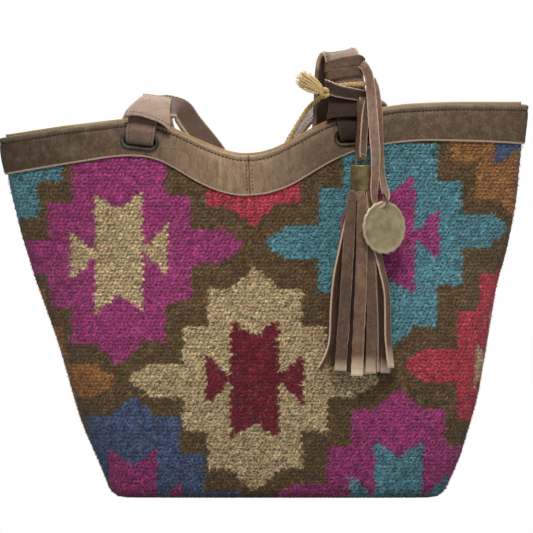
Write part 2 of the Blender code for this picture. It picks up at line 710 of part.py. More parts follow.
def tassel_lace(home, leather):
    """A lace that hangs from the wrap, passes through the bail and goes back up."""
    top, low = TASSEL_PIVOT, BAIL_TOP - BAIL_WIRE * 2.0
    keys = (
        ((top.x - 0.0010, top.y - 0.0030, top.z), (1.0, 0.1, 0.0), 0.0075, 0.0019),
        ((top.x - 0.0012, top.y - 0.0085, top.z - 0.016), (1.0, 0.1, 0.0), 0.0075, 0.0019),
        ((TASSEL_X + 0.0002, TASSEL_Y + 0.0050, low + 0.020), (1.0, 0.0, 0.0), 0.0070, 0.0019),
        ((TASSEL_X, TASSEL_Y - 0.0026, low + 0.006), (1.0, 0.0, 0.0), 0.0062, 0.0019),
        ((TASSEL_X, TASSEL_Y - 0.0026, low + 0.0002), (1.0, 0.0, 0.0), 0.0060, 0.0019),
        ((TASSEL_X, TASSEL_Y, low - 0.0024), (1.0, 0.0, 0.0), 0.0060, 0.0019),
        ((TASSEL_X, TASSEL_Y + 0.0026, low + 0.0002), (1.0, 0.0, 0.0), 0.0060, 0.0019),
        ((TASSEL_X, TASSEL_Y + 0.0028, low + 0.006), (1.0, 0.0, 0.0), 0.0062, 0.0019),
        ((TASSEL_X + 0.0004, TASSEL_Y + 0.0092, low + 0.020), (1.0, 0.0, 0.0), 0.0070, 0.0019),
        ((top.x + 0.0010, top.y - 0.0042, top.z - 0.016), (1.0, 0.1, 0.0), 0.0075, 0.0019),
        ((top.x + 0.0010, top.y + 0.0006, top.z + 0.001), (1.0, 0.1, 0.0), 0.0075, 0.0019),
    )
    return ribbon("tassel_lace", keys, 3, home, leather, LACE_SHAPE)


def medallion_lace(home, leather):
    """The doubled lace of the medallion, bunched round where it passes through the ring."""
    d = Vector((math.cos(MEDALLION_YAW), math.sin(MEDALLION_YAW), 0.0))
    out = Vector((math.sin(MEDALLION_YAW), -math.cos(MEDALLION_YAW), 0.0))
    hang = medallion_pivot()
    bunched = 2.0 * LACE_ROUND
    bunch = []
    for along, up in ((-0.0075, 0.0070), (-0.0045, 0.0018), (0.0, 0.0), (0.0045, 0.0018), (0.0075, 0.0070)):
        place = hang + d * along + Vector((0.0, 0.0, up))
        bunch.append((tuple(place), tuple(out), bunched, bunched))
    keys = MEDALLION_LACE + tuple(bunch) + MEDALLION_LACE_BACK
    return ribbon("medallion_lace", keys, 3, home, leather, LACE_SHAPE)


def ring_centre():
    """The ring hangs from the lace and passes through the medallion's hole."""
    return Vector((MEDALLION_X, MEDALLION_Y, MEDALLION_TOP - RING_HOLE - 0.0012 + RING_RADIUS - RING_WIRE))


def medallion_pivot():
    """Where the lace's bunched foot lies in the top of the ring."""
    return ring_centre() + Vector((0.0, 0.0, RING_RADIUS - RING_WIRE - LACE_ROUND - RING_SLACK))


def medallion(home, brass, cutters):
    """A round medallion with a worked, scalloped rim and a hole for its ring."""
    bm = bmesh.new()
    count = 48
    rings = []
    half = MEDALLION_THICKNESS / 2.0
    lip = MEDALLION_RADIUS - 0.0022
    for radius, depth, wave in (
        (0.0105, half - 0.0007, 0.0), (lip - 0.0010, half - 0.0006, 0.0), (lip, half, 0.3),
        (MEDALLION_RADIUS - 0.0004, half, 1.0), (MEDALLION_RADIUS, 0.0, 1.0),
        (MEDALLION_RADIUS - 0.0004, -half, 1.0), (0.0105, -half, 0.0),
    ):
        ring = []
        for i in range(count):
            angle = 2.0 * math.pi * i / count
            reach = radius + wave * (0.0003 if i % 2 else -0.0003)
            ring.append(bm.verts.new((reach * math.cos(angle), depth, reach * math.sin(angle))))
        rings.append(ring)
    bridge(bm, rings)
    for ring, depth in ((rings[0], half - 0.0007), (rings[-1], -half)):
        centre = bm.verts.new((0.0, depth, 0.0))
        for i in range(count):
            bm.faces.new((ring[i], ring[(i + 1) % count], centre))
    turn = Matrix.Rotation(math.pi + MEDALLION_YAW, 4, "Z")
    centre = Vector((MEDALLION_X, MEDALLION_Y, MEDALLION_TOP - MEDALLION_RADIUS))
    bmesh.ops.transform(bm, matrix=Matrix.Translation(centre) @ turn, verts=bm.verts)
    made = add_object("medallion", bm, home, brass)
    hole = bmesh.new()
    bmesh.ops.create_cone(hole, cap_ends=True, segments=16, radius1=RING_HOLE, radius2=RING_HOLE, depth=0.02)
    lay = Matrix.Rotation(math.pi / 2.0, 4, "X")
    place = Matrix.Translation(Vector((MEDALLION_X, MEDALLION_Y, MEDALLION_TOP - RING_HOLE - 0.0012)))
    bmesh.ops.transform(hole, matrix=place @ Matrix.Rotation(MEDALLION_YAW, 4, "Z") @ lay, verts=hole.verts)
    boolean(made, add_object("medallion_hole", hole, cutters, None, smooth=False))
    return made


def medallion_ring(home, brass):
    """Jump ring, in the plane square to the medallion's face."""
    bm = bmesh.new()
    rings = []
    steps, around = 20, 6
    for i in range(steps):
        angle = 2.0 * math.pi * i / steps
        ring = []
        for k in range(around):
            roll = 2.0 * math.pi * k / around
            reach = RING_RADIUS + RING_WIRE * math.cos(roll)
            aside = RING_WIRE * math.sin(roll)
            ring.append(bm.verts.new((aside, reach * math.cos(angle), reach * math.sin(angle))))
        rings.append(ring)
    rings.append(rings[0])
    bridge(bm, rings)
    place = Matrix.Translation(ring_centre()) @ Matrix.Rotation(MEDALLION_YAW, 4, "Z")
    bmesh.ops.transform(bm, matrix=place, verts=bm.verts)
    return add_object("medallion_ring", bm, home, brass)


def lathe(name, profile, count, centre, home, finish):
    """Turns a closed outline of (radius, height) about a vertical axis."""
    bm = bmesh.new()
    rings = []
    for i in range(count):
        angle = 2.0 * math.pi * i / count
        rings.append([
            bm.verts.new((centre[0] + r * math.cos(angle), centre[1] + r * math.sin(angle), z))
            for r, z in profile
        ])
    rings.append(rings[0])
    bridge(bm, rings, closed_ring=profile[0][0] > 0.0)
    return add_object(name, bm, home, finish)


def tassel_cap(home, brass, cutters):
    """Metal cup over the fringe's head, with two holes for the bail's legs."""
    top, foot = CAP_TOP, CAP_TOP - CAP_HEIGHT
    inner = CAP_RADIUS - CAP_WALL
    profile = (
        (0.0, top - CAP_WALL * 1.2), (inner, top - CAP_WALL * 1.2), (inner, foot),
        (CAP_RADIUS, foot), (CAP_RADIUS, top - 0.0008), (CAP_RADIUS - 0.0008, top), (0.0, top),
    )
    made = lathe("tassel_cap", profile, 28, (TASSEL_X, TASSEL_Y), home, brass)
    for side in (-1, 1):
        hole = bmesh.new()
        bmesh.ops.create_cone(
            hole, cap_ends=True, segments=12, radius1=BAIL_WIRE + GAP, radius2=BAIL_WIRE + GAP, depth=0.01
        )
        place = Vector((TASSEL_X + side * (BAIL_WIDTH / 2.0), TASSEL_Y, CAP_TOP))
        bmesh.ops.transform(hole, matrix=Matrix.Translation(place), verts=hole.verts)
        boolean(made, add_object(f"cap_hole_{side}", hole, cutters, None, smooth=False))
    return made


def tube(name, points, radius, home, finish, around=3):
    """A round wire or cord along points, as a bevelled curve turned to a mesh."""
    curve = bpy.data.curves.new(name, "CURVE")
    curve.dimensions = "3D"
    curve.bevel_depth = radius
    curve.bevel_resolution = around
    curve.use_fill_caps = True
    spline = curve.splines.new("POLY")
    spline.points.add(len(points) - 1)
    for point, place in zip(spline.points, points):
        point.co = (*place, 1.0)
    holder = bpy.data.objects.new(name + "_line", curve)
    home.objects.link(holder)
    mesh = bpy.data.meshes.new_from_object(holder.evaluated_get(bpy.context.evaluated_depsgraph_get()))
    bpy.data.objects.remove(holder, do_unlink=True)
    bm = bmesh.new()
    bm.from_mesh(mesh)
    return add_object(name, bm, home, finish)


def tassel_bail(home, brass):
    """Wire staple: a leg in each hole of the cap and a rounded top."""
    half = BAIL_WIDTH / 2.0
    low = CAP_TOP - CAP_WALL * 1.2 - 0.0022
    points = [(TASSEL_X - half, TASSEL_Y, low)]
    for step in range(9):
        angle = math.pi - math.pi * step / 8
        points.append((
            TASSEL_X + half * math.cos(angle), TASSEL_Y,
            BAIL_TOP - half + (half - BAIL_WIRE) * math.sin(angle),
        ))
    points.append((TASSEL_X + half, TASSEL_Y, low))
    return tube("tassel_bail", points, BAIL_WIRE, home, brass)


def tassel_fringe(home, leather, cutters):
    """Rolled head inside the cap, with the cut strips that hang from it."""
    head_top = CAP_TOP - CAP_WALL * 1.2 - 0.0026
    mouth = CAP_TOP - CAP_HEIGHT
    head = CAP_RADIUS - CAP_WALL - GAP
    profile = (
        (0.0, mouth - 0.001), (head * 0.92, mouth - 0.001), (head, mouth + 0.003), (head, head_top),
        (0.0, head_top),
    )
    made = lathe("tassel_fringe", profile, 20, (TASSEL_X, TASSEL_Y), home, leather)
    for index, (root, foot, turn, short) in enumerate(STRIPS):
        angle = math.radians(turn)
        across = (math.cos(angle), math.sin(angle), 0.0)
        drop = mouth - FRINGE_FOOT - short
        keys = []
        for share, spread, widen in ((-0.03 - 0.002 * index, 0.0, 0.28),) + STRIP_FALL:
            place = (
                TASSEL_X + root[0] + (foot[0] - root[0]) * spread,
                TASSEL_Y + root[1] + (foot[1] - root[1]) * spread,
                mouth - drop * share,
            )
            keys.append((place, across, STRIP_WIDTH * widen, STRIP))
        strip = ribbon(f"strip_{index}", keys, 1, cutters, None, LACE_SHAPE)
        boolean(made, strip, "UNION")
    return made


def braid_brush(home, jute):
    """Knot of the cord and its frayed end."""
    bm = bmesh.new()
    axis = (BRUSH_TIP - BRUSH_ROOT).normalized()
    side = Vector((0.0, -1.0, 0.0))
    across = axis.cross(side).normalized()
    side = across.cross(axis)
    length = (BRUSH_TIP - BRUSH_ROOT).length
    rings = []
    for share, wide, deep in (
        (-0.18, 0.45, 0.45), (-0.10, 0.9, 0.9), (0.0, 1.0, 1.0), (0.10, 0.85, 0.85), (0.18, 0.60, 0.60),
        (0.40, 1.05, 0.70), (0.70, 1.70, 0.85), (1.0, BRUSH_SPREAD / KNOT_RADIUS, 1.0),
    ):
        ring = []
        for i in range(12):
            angle = 2.0 * math.pi * i / 12
            spot = BRUSH_ROOT + axis * (length * share)
            spot += across * (KNOT_RADIUS * wide * math.cos(angle))
            spot += side * (KNOT_RADIUS * deep * math.sin(angle))
            ring.append(bm.verts.new(spot))
        rings.append(ring)
    bridge(bm, rings)
    bm.faces.new(rings[0])
    bm.faces.new(rings[-1])
    return add_object("cord_knot_brush", bm, home, jute)


def main():
    clear_scene()
    home = collection("tote_bag")
    cutters = collection("cutters")

    kilim = material("kilim_wool", (0.20, 0.12, 0.10), 0.95)
    cotton = material("lining_cotton", (0.55, 0.45, 0.28), 0.9)
    hide = material("band_leather", (0.17, 0.11, 0.065), 0.6)
    strap = material("handle_leather", (0.24, 0.16, 0.12), 0.6)
    suede = material("lace_leather", (0.16, 0.09, 0.06), 0.75)
    gunmetal = material("eyelet_metal", (0.09, 0.085, 0.07), 0.4, 1.0)
    brass = material("aged_brass", (0.24, 0.19, 0.10), 0.4, 1.0)
    jute = material("braid_jute", (0.55, 0.37, 0.13), 0.9)

    seam = share_at(SEAM_AT, 0.30)
    columns = body_columns(seam)
    front = columns[:COLUMNS + 1]
    back = columns[COLUMNS:] + [2.0]
    stop = -BAND_TURN
    walls = [
        wall("kilim_front", front, 0.0, -KILIM, stop, home, kilim, -1),
        wall("kilim_back", back, 0.0, -KILIM, stop, home, kilim, 1),
    ]
    sack = lining(columns, home, cotton)

    apart = GAP / 2.0 / (skin_point(1.0, 0.34).x - skin_point(0.0, 0.34).x)
    ends = ((2.0 - seam + apart, 2.0 + seam - apart), (seam + apart, 2.0 - seam - apart))
    bands = [
        band(name, shares_between(columns, *pair), home, hide)
        for name, pair in zip(("band_left", "band_right"), ends)
    ]

    for row, middle_keys in (("front", FRONT_HANDLE), ("back", BACK_HANDLE)):
        rear = row == "back"
        ends, rooms = [], []
        for side, where, lean, sleeve, metal in (
            ("left", EYELET_LEFT, TAB_LEAN_LEFT, SLEEVE_LEFT, gunmetal),
            ("right", EYELET_RIGHT, TAB_LEAN_RIGHT, SLEEVE_RIGHT, brass),
        ):
            frame = eyelet_frame(where, rear)
            if rear:
                lean = -lean
                sleeve = SLEEVE_BACK_RIGHT if side == "right" else sleeve
            label = f"{row}_{side}"
            slot = slot_cutter(f"slot_{label}", frame, cutters)
            boolean(walls[1 if rear else 0], slot)
            boolean(sack, slot)
            boolean(bands[0 if side == "left" else 1], slot)
            eyelet(f"eyelet_{label}", frame, home, metal)
            backing_plate(f"backing_plate_{label}", frame, home, brass)
            ribbon(f"handle_tab_{label}", tab_keys(frame, lean, sleeve[0]), 2, home, strap, LACE_SHAPE)
            room = pocket_keys(frame, lean, sleeve[0])
            rooms.append(ribbon(f"pocket_{label}", room, 1, cutters, None, LACE_SHAPE))
            ends.append(sleeve_keys(frame, lean, sleeve))
        keys = ends[0] + list(middle_keys) + ends[1][::-1]
        handle = ribbon(f"handle_{row}", keys, 2, home, strap, STRAP_SHAPE)
        for room in rooms:
            boolean(handle, room)
        if not rear:
            wrap_lace(smooth_path(keys, 3), home, suede)

    tassel_lace(home, suede)
    medallion_lace(home, suede)
    medallion(home, brass, cutters)
    medallion_ring(home, brass)
    tassel_cap(home, brass, cutters)
    tassel_bail(home, brass)
    tassel_fringe(home, suede, cutters)
    tube("braid_cord", CORD_ROUTE, CORD_RADIUS, home, jute, around=2)
    braid_brush(home, jute)

    for item in home.objects:
        item.data.transform(Matrix.Translation((0.0, DEPTH_SHIFT, 0.0)))
    for item in cutters.objects:
        item.hide_render = True
        item.display_type = "WIRE"


main()
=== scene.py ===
"""Looks of the kilim tote bag: woven wool, leather, laces, tassel and metalwork."""

import math

import bpy
import numpy as np
from mathutils import Matrix, Vector


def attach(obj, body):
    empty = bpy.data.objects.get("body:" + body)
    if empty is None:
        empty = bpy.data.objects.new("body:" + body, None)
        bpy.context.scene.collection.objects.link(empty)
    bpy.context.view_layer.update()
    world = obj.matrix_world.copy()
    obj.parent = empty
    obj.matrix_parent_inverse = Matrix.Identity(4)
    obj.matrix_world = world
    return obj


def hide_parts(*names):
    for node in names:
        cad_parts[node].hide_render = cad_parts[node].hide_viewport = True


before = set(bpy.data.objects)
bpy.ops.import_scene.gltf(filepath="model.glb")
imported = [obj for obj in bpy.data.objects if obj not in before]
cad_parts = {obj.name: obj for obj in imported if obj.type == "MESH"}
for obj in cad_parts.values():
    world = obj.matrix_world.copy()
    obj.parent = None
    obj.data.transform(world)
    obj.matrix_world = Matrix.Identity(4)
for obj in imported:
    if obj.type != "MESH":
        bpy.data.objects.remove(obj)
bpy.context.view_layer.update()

# The photograph's frame: metres to a pixel at the bag's sides, and where its origin falls.
PIXEL = 0.00094
PIXEL_X = 263.0
PIXEL_Z = 497.0
PHOTO = 533.0
CAMERA_DISTANCE = 8.0
SCALE_PLANE = -0.012
DEPTH = 0.0115

# The bag's body, as its solids have it.
SIDE_LEFT = (
    (0.000, -0.141), (0.024, -0.150), (0.073, -0.172), (0.146, -0.193), (0.206, -0.215),
    (0.251, -0.229), (0.292, -0.239), (0.337, -0.246), (0.380, -0.251),
)
SIDE_RIGHT = (
    (0.000, 0.168), (0.016, 0.175), (0.035, 0.184), (0.092, 0.202), (0.148, 0.2115),
    (0.201, 0.2205), (0.232, 0.230), (0.275, 0.2385), (0.341, 0.245), (0.380, 0.248),
)
HALF_DEPTH = ((0.000, 0.070), (0.060, 0.068), (0.200, 0.055), (0.380, 0.038))
RIM_LINE = (
    (-0.250, 0.3370), (-0.187, 0.3465), (-0.132, 0.3530), (-0.106, 0.3534), (-0.085, 0.3453),
    (-0.059, 0.3328), (-0.028, 0.3208), (-0.013, 0.3203), (0.003, 0.3222), (0.018, 0.3287),
    (0.038, 0.3400), (0.059, 0.3515), (0.082, 0.3590), (0.132, 0.3670), (0.174, 0.3690),
    (0.250, 0.3690),
)
BAND_LINE = (
    (-0.250, 0.3020), (-0.187, 0.3123), (-0.133, 0.3207), (-0.103, 0.3191), (-0.085, 0.3102),
    (-0.057, 0.2927), (-0.030, 0.2831), (-0.009, 0.2825), (0.014, 0.2867), (0.034, 0.2963),
    (0.056, 0.3107), (0.082, 0.3238), (0.114, 0.3314), (0.147, 0.3349), (0.202, 0.3340),
    (0.250, 0.3320),
)
BASE_SQUARENESS = 6.0
RIM_ROUNDNESS = (2.0, 1.75)
SQUARE_TO_HEIGHT = 0.26
BASE_FOLD_RADIUS = 0.012
SOFTEN = 0.012
KILIM = 0.0030
BAND = 0.0023
LINING = 0.0010
LAYER_GAP = 0.0005
GAP = 0.0003
SEAM_AT = -0.0127
EYELETS = ((-0.1153, 0.3337, math.radians(-6.5)), (0.0846, 0.3375, math.radians(4.0)))
SLOT_LENGTH = 0.0298
SLOT_HEIGHT = 0.0095

# Weave: one float of the weft, how proud it stands, and how unevenly it lies.
FLOAT_LENGTH = 0.0045
FLOAT_RISE = 0.0035
THREAD = FLOAT_RISE / 2.0
FLOAT_PROUD = 0.00045
TROUGH_SHARE = 0.45
WEAVE_SINK = 0.0002
UNEVEN_PROUD = 0.00014
UNEVEN_ACROSS = 0.00034
UNEVEN_UP = 0.00024
FLOAT_LEAN = 0.0004
SLACK_WAVE = 0.0016

# A wall's cloth: its height, half girth, rows in its half of the base, and how it ends at the rim.
WALL_HEIGHT = 0.366
HALF_GIRTH = 0.505
WALL_ROWS = 2 * int(round(WALL_HEIGHT / FLOAT_RISE)) + 5
BASE_ROWS = 2 * 20
UNDER_RIM = 0.0032
STRETCHED_ENDS = 0.10
# Half size, round each eyelet, of the wool darkened there as painted shade behind its slot.
SLOT_SHADOW = (0.017, 0.008)

# Heights from which the rim and the band's foot are searched.
NEAR_RIM = 0.34
NEAR_FOOT = 0.30

# Stitches and the number of loose fibres on each wall.
STITCH_PITCH = 0.0036
FUZZ_FRONT = 56000
FUZZ_BACK = 40000

# Sheen of wool and cloth.
SHEEN_ROUGHNESS = 0.6

# Yarn colours, as the photograph shows them.
YARN = {
    "ground": (105, 82, 51),
    "magenta": (170, 62, 124),
    "teal": (90, 146, 157),
    "cream": (203, 177, 134),
    "crimson": (124, 28, 46),
    "red": (197, 65, 82),
    "blue": (80, 98, 134),
    "rust": (164, 112, 65),
}

# Medallions of the pattern: centre in the photograph, colour and colour of the inner figure.
MOTIFS = (
    ((119, 252), "magenta", "cream"), ((391, 236), "teal", "magenta"), ((255, 379), "cream", "crimson"),
    ((133, 508), "blue", "magenta"), ((399, 500), "magenta", "teal"), ((530, 365), "red", "cream"),
    ((253, 114), "red", "teal"), ((-10, 130), "teal", "teal"), ((525, 105), "rust", "blue"),
    ((-10, 380), "rust", "crimson"), ((262, 640), "teal", "red"), ((-10, 640), "cream", "red"),
    ((530, 628), "rust", "blue"), ((672, 236), "blue", "cream"), ((672, 500), "teal", "magenta"),
    ((-150, 252), "red", "cream"), ((-150, 508), "magenta", "teal"),
)
# Rows of the pattern near the rim climb with it.
RIM_ROW_TILT = 0.06
TILTED_ABOVE = 300

# Bands, lining, eyelets, tabs and sleeves.
BAND_COLUMNS = 300
SEAM_GAP = 0.0004
CUT_DEPTH = 0.009
LINING_FOOT = 0.0052
LINING_EDGE = 0.0028
EYELET_PROUD = 0.0028
WASHER = 0.0009
TAB_WIDTH = 0.0272
TAB_WAIST = 0.0262
TAB = 0.0022
TAB_IN_SLEEVE = 0.0115
TAB_LEANS = (math.radians(1.5), math.radians(-2.0))
SLEEVE_EDGES = (0.0228, 0.0270)
SLEEVE_EDGES_BACK = (0.0228, 0.0290)
BOW_FADE = 14.0
LEG_TOP, LEG_RIGHT = 0.402, 0.0650
STITCH_REACH = 0.86

# Pendants.
TASSEL_AT = (360.0, 190.0)
TASSEL_Y = -0.0730
SCALLOPS = 18
MEDALLION_AT = (0.1130, -0.0820, 0.2530)
MEDALLION_YAW = math.radians(35.0)
MEDALLION_THICKNESS = 0.0026
MEDALLION_HOLE = 0.0019
MEDALLION_HOLE_UP = 0.0250 - 0.0019 - 0.0012

# Free cord's route, knot and brush, as the solids have them, before DEPTH.
CORD_RADIUS = 0.00235
CORD_ROUTE = (
    (0.0994, -0.0380, 0.3890), (0.0984, -0.0425, 0.3885), (0.0940, -0.0456, 0.3880),
    (0.0870, -0.0462, 0.3876), (0.0790, -0.0462, 0.3870), (0.0710, -0.0462, 0.3860),
    (0.0632, -0.0462, 0.3842), (0.0570, -0.0440, 0.3800), (0.0540, -0.0395, 0.3752),
    (0.0495, -0.0362, 0.3715), (0.0450, -0.0338, 0.3678), (0.0405, -0.0320, 0.3625),
    (0.0362, -0.0305, 0.3560), (0.0315, -0.0295, 0.3485), (0.0275, -0.0290, 0.3410),
    (0.0240, -0.0288, 0.3325), (0.0215, -0.0288, 0.3235), (0.0200, -0.0290, 0.3140),
    (0.0192, -0.0292, 0.3050),
)
BRUSH_ROOT = (0.0572, -0.0507, 0.3800)
BRUSH_TIP = (0.0335, -0.0510, 0.3945)
BRUSH_SPREAD = 0.0085
BRUSH_FIBRES = 210
CORD_TURNS = 75.0

# Sleeves as the photograph shows them: pixel, depth, width direction, width and thickness.
SLEEVE_LEFT = (
    (147.4, 124.4, -0.0440, (0.988, 0.0, -0.154), 0.0450, 0.0150),
    (149.6, 118.0, -0.0430, (0.988, 0.0, -0.155), 0.0415, 0.0140),
    (152.6, 109.5, -0.0410, (0.986, 0.0, -0.165), 0.0350, 0.0110),
    (155.6, 102.0, -0.0378, (0.985, 0.0, -0.155), 0.0292, 0.0072),
    (156.6, 98.6, -0.0325, (0.980, 0.0, -0.140), 0.0280, 0.0060),
    (157.6, 99.6, -0.0270, (0.980, 0.0, -0.130), 0.0275, 0.0056),
    (158.4, 104.0, -0.0240, (0.980, 0.0, -0.130), 0.0260, 0.0050),
)
SLEEVE_RIGHT = (
    (349.0, 120.0, -0.0425, (0.985, 0.0, 0.150), 0.0430, 0.0160),
    (348.8, 112.0, -0.0415, (0.985, 0.0, 0.140), 0.0405, 0.0140),
    (347.8, 101.0, -0.0400, (0.990, 0.0, 0.125), 0.0370, 0.0100),
    (346.8, 94.0, -0.0385, (0.990, 0.0, 0.110), 0.0352, 0.0068),
)
FRONT_STRAP = (
    ((-0.0985, -0.0245, 0.3660), (-0.30, 0.55, 0.78), 0.026, 0.0048),
    ((-0.0880, -0.0215, 0.3672), (0.10, 0.76, 0.64), 0.030, 0.0048),
    ((-0.0772, -0.0190, 0.3637), (0.56, 0.76, 0.32), 0.030, 0.0048),
    ((-0.0677, -0.0180, 0.3505), (0.56, 0.74, 0.37), 0.030, 0.0048),
    ((-0.0490, -0.0178, 0.3270), (0.55, 0.72, 0.42), 0.030, 0.0048),
    ((-0.0330, -0.0180, 0.3060), (0.42, 0.85, 0.32), 0.030, 0.0048),
    ((-0.0130, -0.0180, 0.2880), (0.22, 0.97, 0.12), 0.030, 0.0048),
    ((0.0080, -0.0180, 0.2800), (0.02, 1.00, 0.02), 0.030, 0.0048),
    ((0.0280, -0.0178, 0.2860), (0.06, 0.99, -0.06), 0.030, 0.0048),
    ((0.0430, -0.0172, 0.3060), (0.20, 0.97, -0.12), 0.030, 0.0048),
    ((0.0515, -0.0160, 0.3350), (0.34, 0.94, -0.08), 0.030, 0.0048),
    ((0.0550, -0.0150, 0.3660), (0.42, 0.90, -0.02), 0.030, 0.0048),
    ((0.0588, -0.0170, 0.3930), (0.60, 0.78, 0.05), 0.031, 0.0048),
    ((0.0640, -0.0220, 0.4095), (0.86, 0.50, 0.10), 0.032, 0.0048),
    ((0.0700, -0.0290, 0.4160), (0.98, 0.12, 0.13), 0.033, 0.0048),
    ((0.0745, -0.0350, 0.4115), (0.99, 0.02, 0.12), 0.033, 0.0048),
    ((0.0772, -0.0378, 0.3985), (0.99, 0.00, 0.11), 0.033, 0.0050),
    ((0.0784, -0.0382, 0.3860), (0.99, 0.00, 0.11), 0.034, 0.0050),
    ((0.0794, -0.0388, 0.3780), (0.99, 0.00, 0.11), 0.035, 0.0050),
)
BACK_STRAP = (
    ((-0.1010, 0.0290, 0.3715), (0.99, 0.00, -0.08), 0.030, 0.0050),
    ((-0.1008, 0.0240, 0.3705), (0.98, -0.10, 0.05), 0.030, 0.0048),
    ((-0.0995, 0.0200, 0.3600), (0.88, -0.40, 0.20), 0.030, 0.0048),
    ((-0.0950, 0.0190, 0.3440), (0.72, -0.64, 0.26), 0.030, 0.0048),
    ((-0.0815, 0.0185, 0.3240), (0.56, -0.78, 0.26), 0.030, 0.0048),
    ((-0.0600, 0.0182, 0.3020), (0.36, -0.90, 0.24), 0.030, 0.0048),
    ((-0.0400, 0.0180, 0.2880), (0.12, -0.99, 0.08), 0.030, 0.0048),
    ((-0.0170, 0.0180, 0.2850), (0.00, -1.00, 0.00), 0.030, 0.0048),
    ((0.0030, 0.0182, 0.3000), (-0.02, -1.00, 0.02), 0.030, 0.0048),
    ((0.0170, 0.0190, 0.3230), (-0.04, -1.00, 0.02), 0.030, 0.0048),
    ((0.0300, 0.0200, 0.3400), (0.18, -0.96, -0.16), 0.030, 0.0048),
    ((0.0410, 0.0210, 0.3540), (0.20, -0.95, -0.18), 0.030, 0.0048),
    ((0.0530, 0.0215, 0.3650), (0.20, -0.95, -0.20), 0.030, 0.0048),
    ((0.0670, 0.0220, 0.3700), (0.22, -0.94, -0.20), 0.030, 0.0048),
    ((0.0830, 0.0225, 0.3730), (0.34, -0.92, -0.16), 0.030, 0.0048),
    ((0.0975, 0.0235, 0.3735), (0.62, -0.78, -0.08), 0.031, 0.0048),
    ((0.1015, 0.0285, 0.3705), (0.93, -0.36, -0.04), 0.033, 0.0050),
    ((0.0980, 0.0335, 0.3660), (0.98, -0.10, 0.02), 0.034, 0.0050),
)
BACK_SLEEVE_LEFT = (
    ((-0.1125, 0.0440, 0.3510), (0.988, 0.0, -0.10), 0.0440, 0.0150),
    ((-0.1105, 0.0425, 0.3570), (0.988, 0.0, -0.10), 0.0415, 0.0140),
    ((-0.1070, 0.0390, 0.3640), (0.986, 0.0, -0.10), 0.0350, 0.0100),
    ((-0.1030, 0.0335, 0.3710), (0.985, 0.0, -0.10), 0.0300, 0.0060),
)
BACK_SLEEVE_RIGHT = (
    ((0.0875, 0.0420, 0.3600), (0.99, 0.0, 0.08), 0.0430, 0.0150),
    ((0.0890, 0.0405, 0.3660), (0.99, 0.0, 0.08), 0.0405, 0.0140),
    ((0.0930, 0.0375, 0.3700), (0.99, 0.0, 0.06), 0.0370, 0.0100),
    ((0.0970, 0.0335, 0.3735), (0.98, -0.10, 0.04), 0.0340, 0.0060),
)

# Laces, as pixels of the photograph: pixel, depth, width direction, width and thickness.
UP = (0.0, 0.0, 1.0)
WRAP_THICK, LACE_THICK = 0.0017, 0.0018
WRAP = (
    (364.4, 61.0, -0.0350, UP, 0.0055, WRAP_THICK),
    (358.6, 59.8, -0.0424, (0.11, 0.0, 1.0), 0.0092, WRAP_THICK),
    (343.0, 62.2, -0.0424, (0.14, 0.0, 1.0), 0.0095, WRAP_THICK),
    (329.5, 66.0, -0.0415, (0.14, 0.0, 1.0), 0.0095, WRAP_THICK),
    (325.2, 68.0, -0.0380, UP, 0.0090, WRAP_THICK), (329.0, 69.0, -0.0338, UP, 0.0090, WRAP_THICK),
    (345.0, 67.5, -0.0330, UP, 0.0090, WRAP_THICK), (362.0, 66.2, -0.0345, UP, 0.0090, WRAP_THICK),
    (366.0, 66.5, -0.0385, UP, 0.0090, WRAP_THICK),
    (361.0, 69.8, -0.0430, (0.06, 0.0, 1.0), 0.0088, WRAP_THICK),
    (345.0, 72.2, -0.0428, (0.10, 0.0, 1.0), 0.0090, WRAP_THICK),
    (331.0, 75.4, -0.0420, (0.10, 0.0, 1.0), 0.0090, WRAP_THICK),
    (326.8, 77.5, -0.0383, UP, 0.0088, WRAP_THICK), (330.0, 79.5, -0.0338, UP, 0.0088, WRAP_THICK),
    (346.0, 81.0, -0.0330, UP, 0.0088, WRAP_THICK), (362.0, 83.0, -0.0350, UP, 0.0088, WRAP_THICK),
)
LOOSE_TURN = (
    (340.0, 84.0, -0.0335, UP, 0.0100, WRAP_THICK), (330.0, 84.2, -0.0342, UP, 0.0110, WRAP_THICK),
    (325.0, 85.6, -0.0400, (0.1, 0.0, 1.0), 0.0120, WRAP_THICK),
    (327.8, 86.8, -0.0478, (0.1, 0.0, 1.0), 0.0124, WRAP_THICK),
    (333.5, 89.4, -0.0512, (0.22, -0.15, 1.0), 0.0122, WRAP_THICK),
    (342.0, 91.8, -0.0512, (0.22, -0.2, 1.0), 0.0116, WRAP_THICK),
    (353.0, 93.9, -0.0495, (0.16, -0.1, 1.0), 0.0112, WRAP_THICK),
    (362.0, 95.4, -0.0462, (0.12, 0.0, 1.0), 0.0108, WRAP_THICK),
    (367.0, 96.6, -0.0420, UP, 0.0100, WRAP_THICK),
)
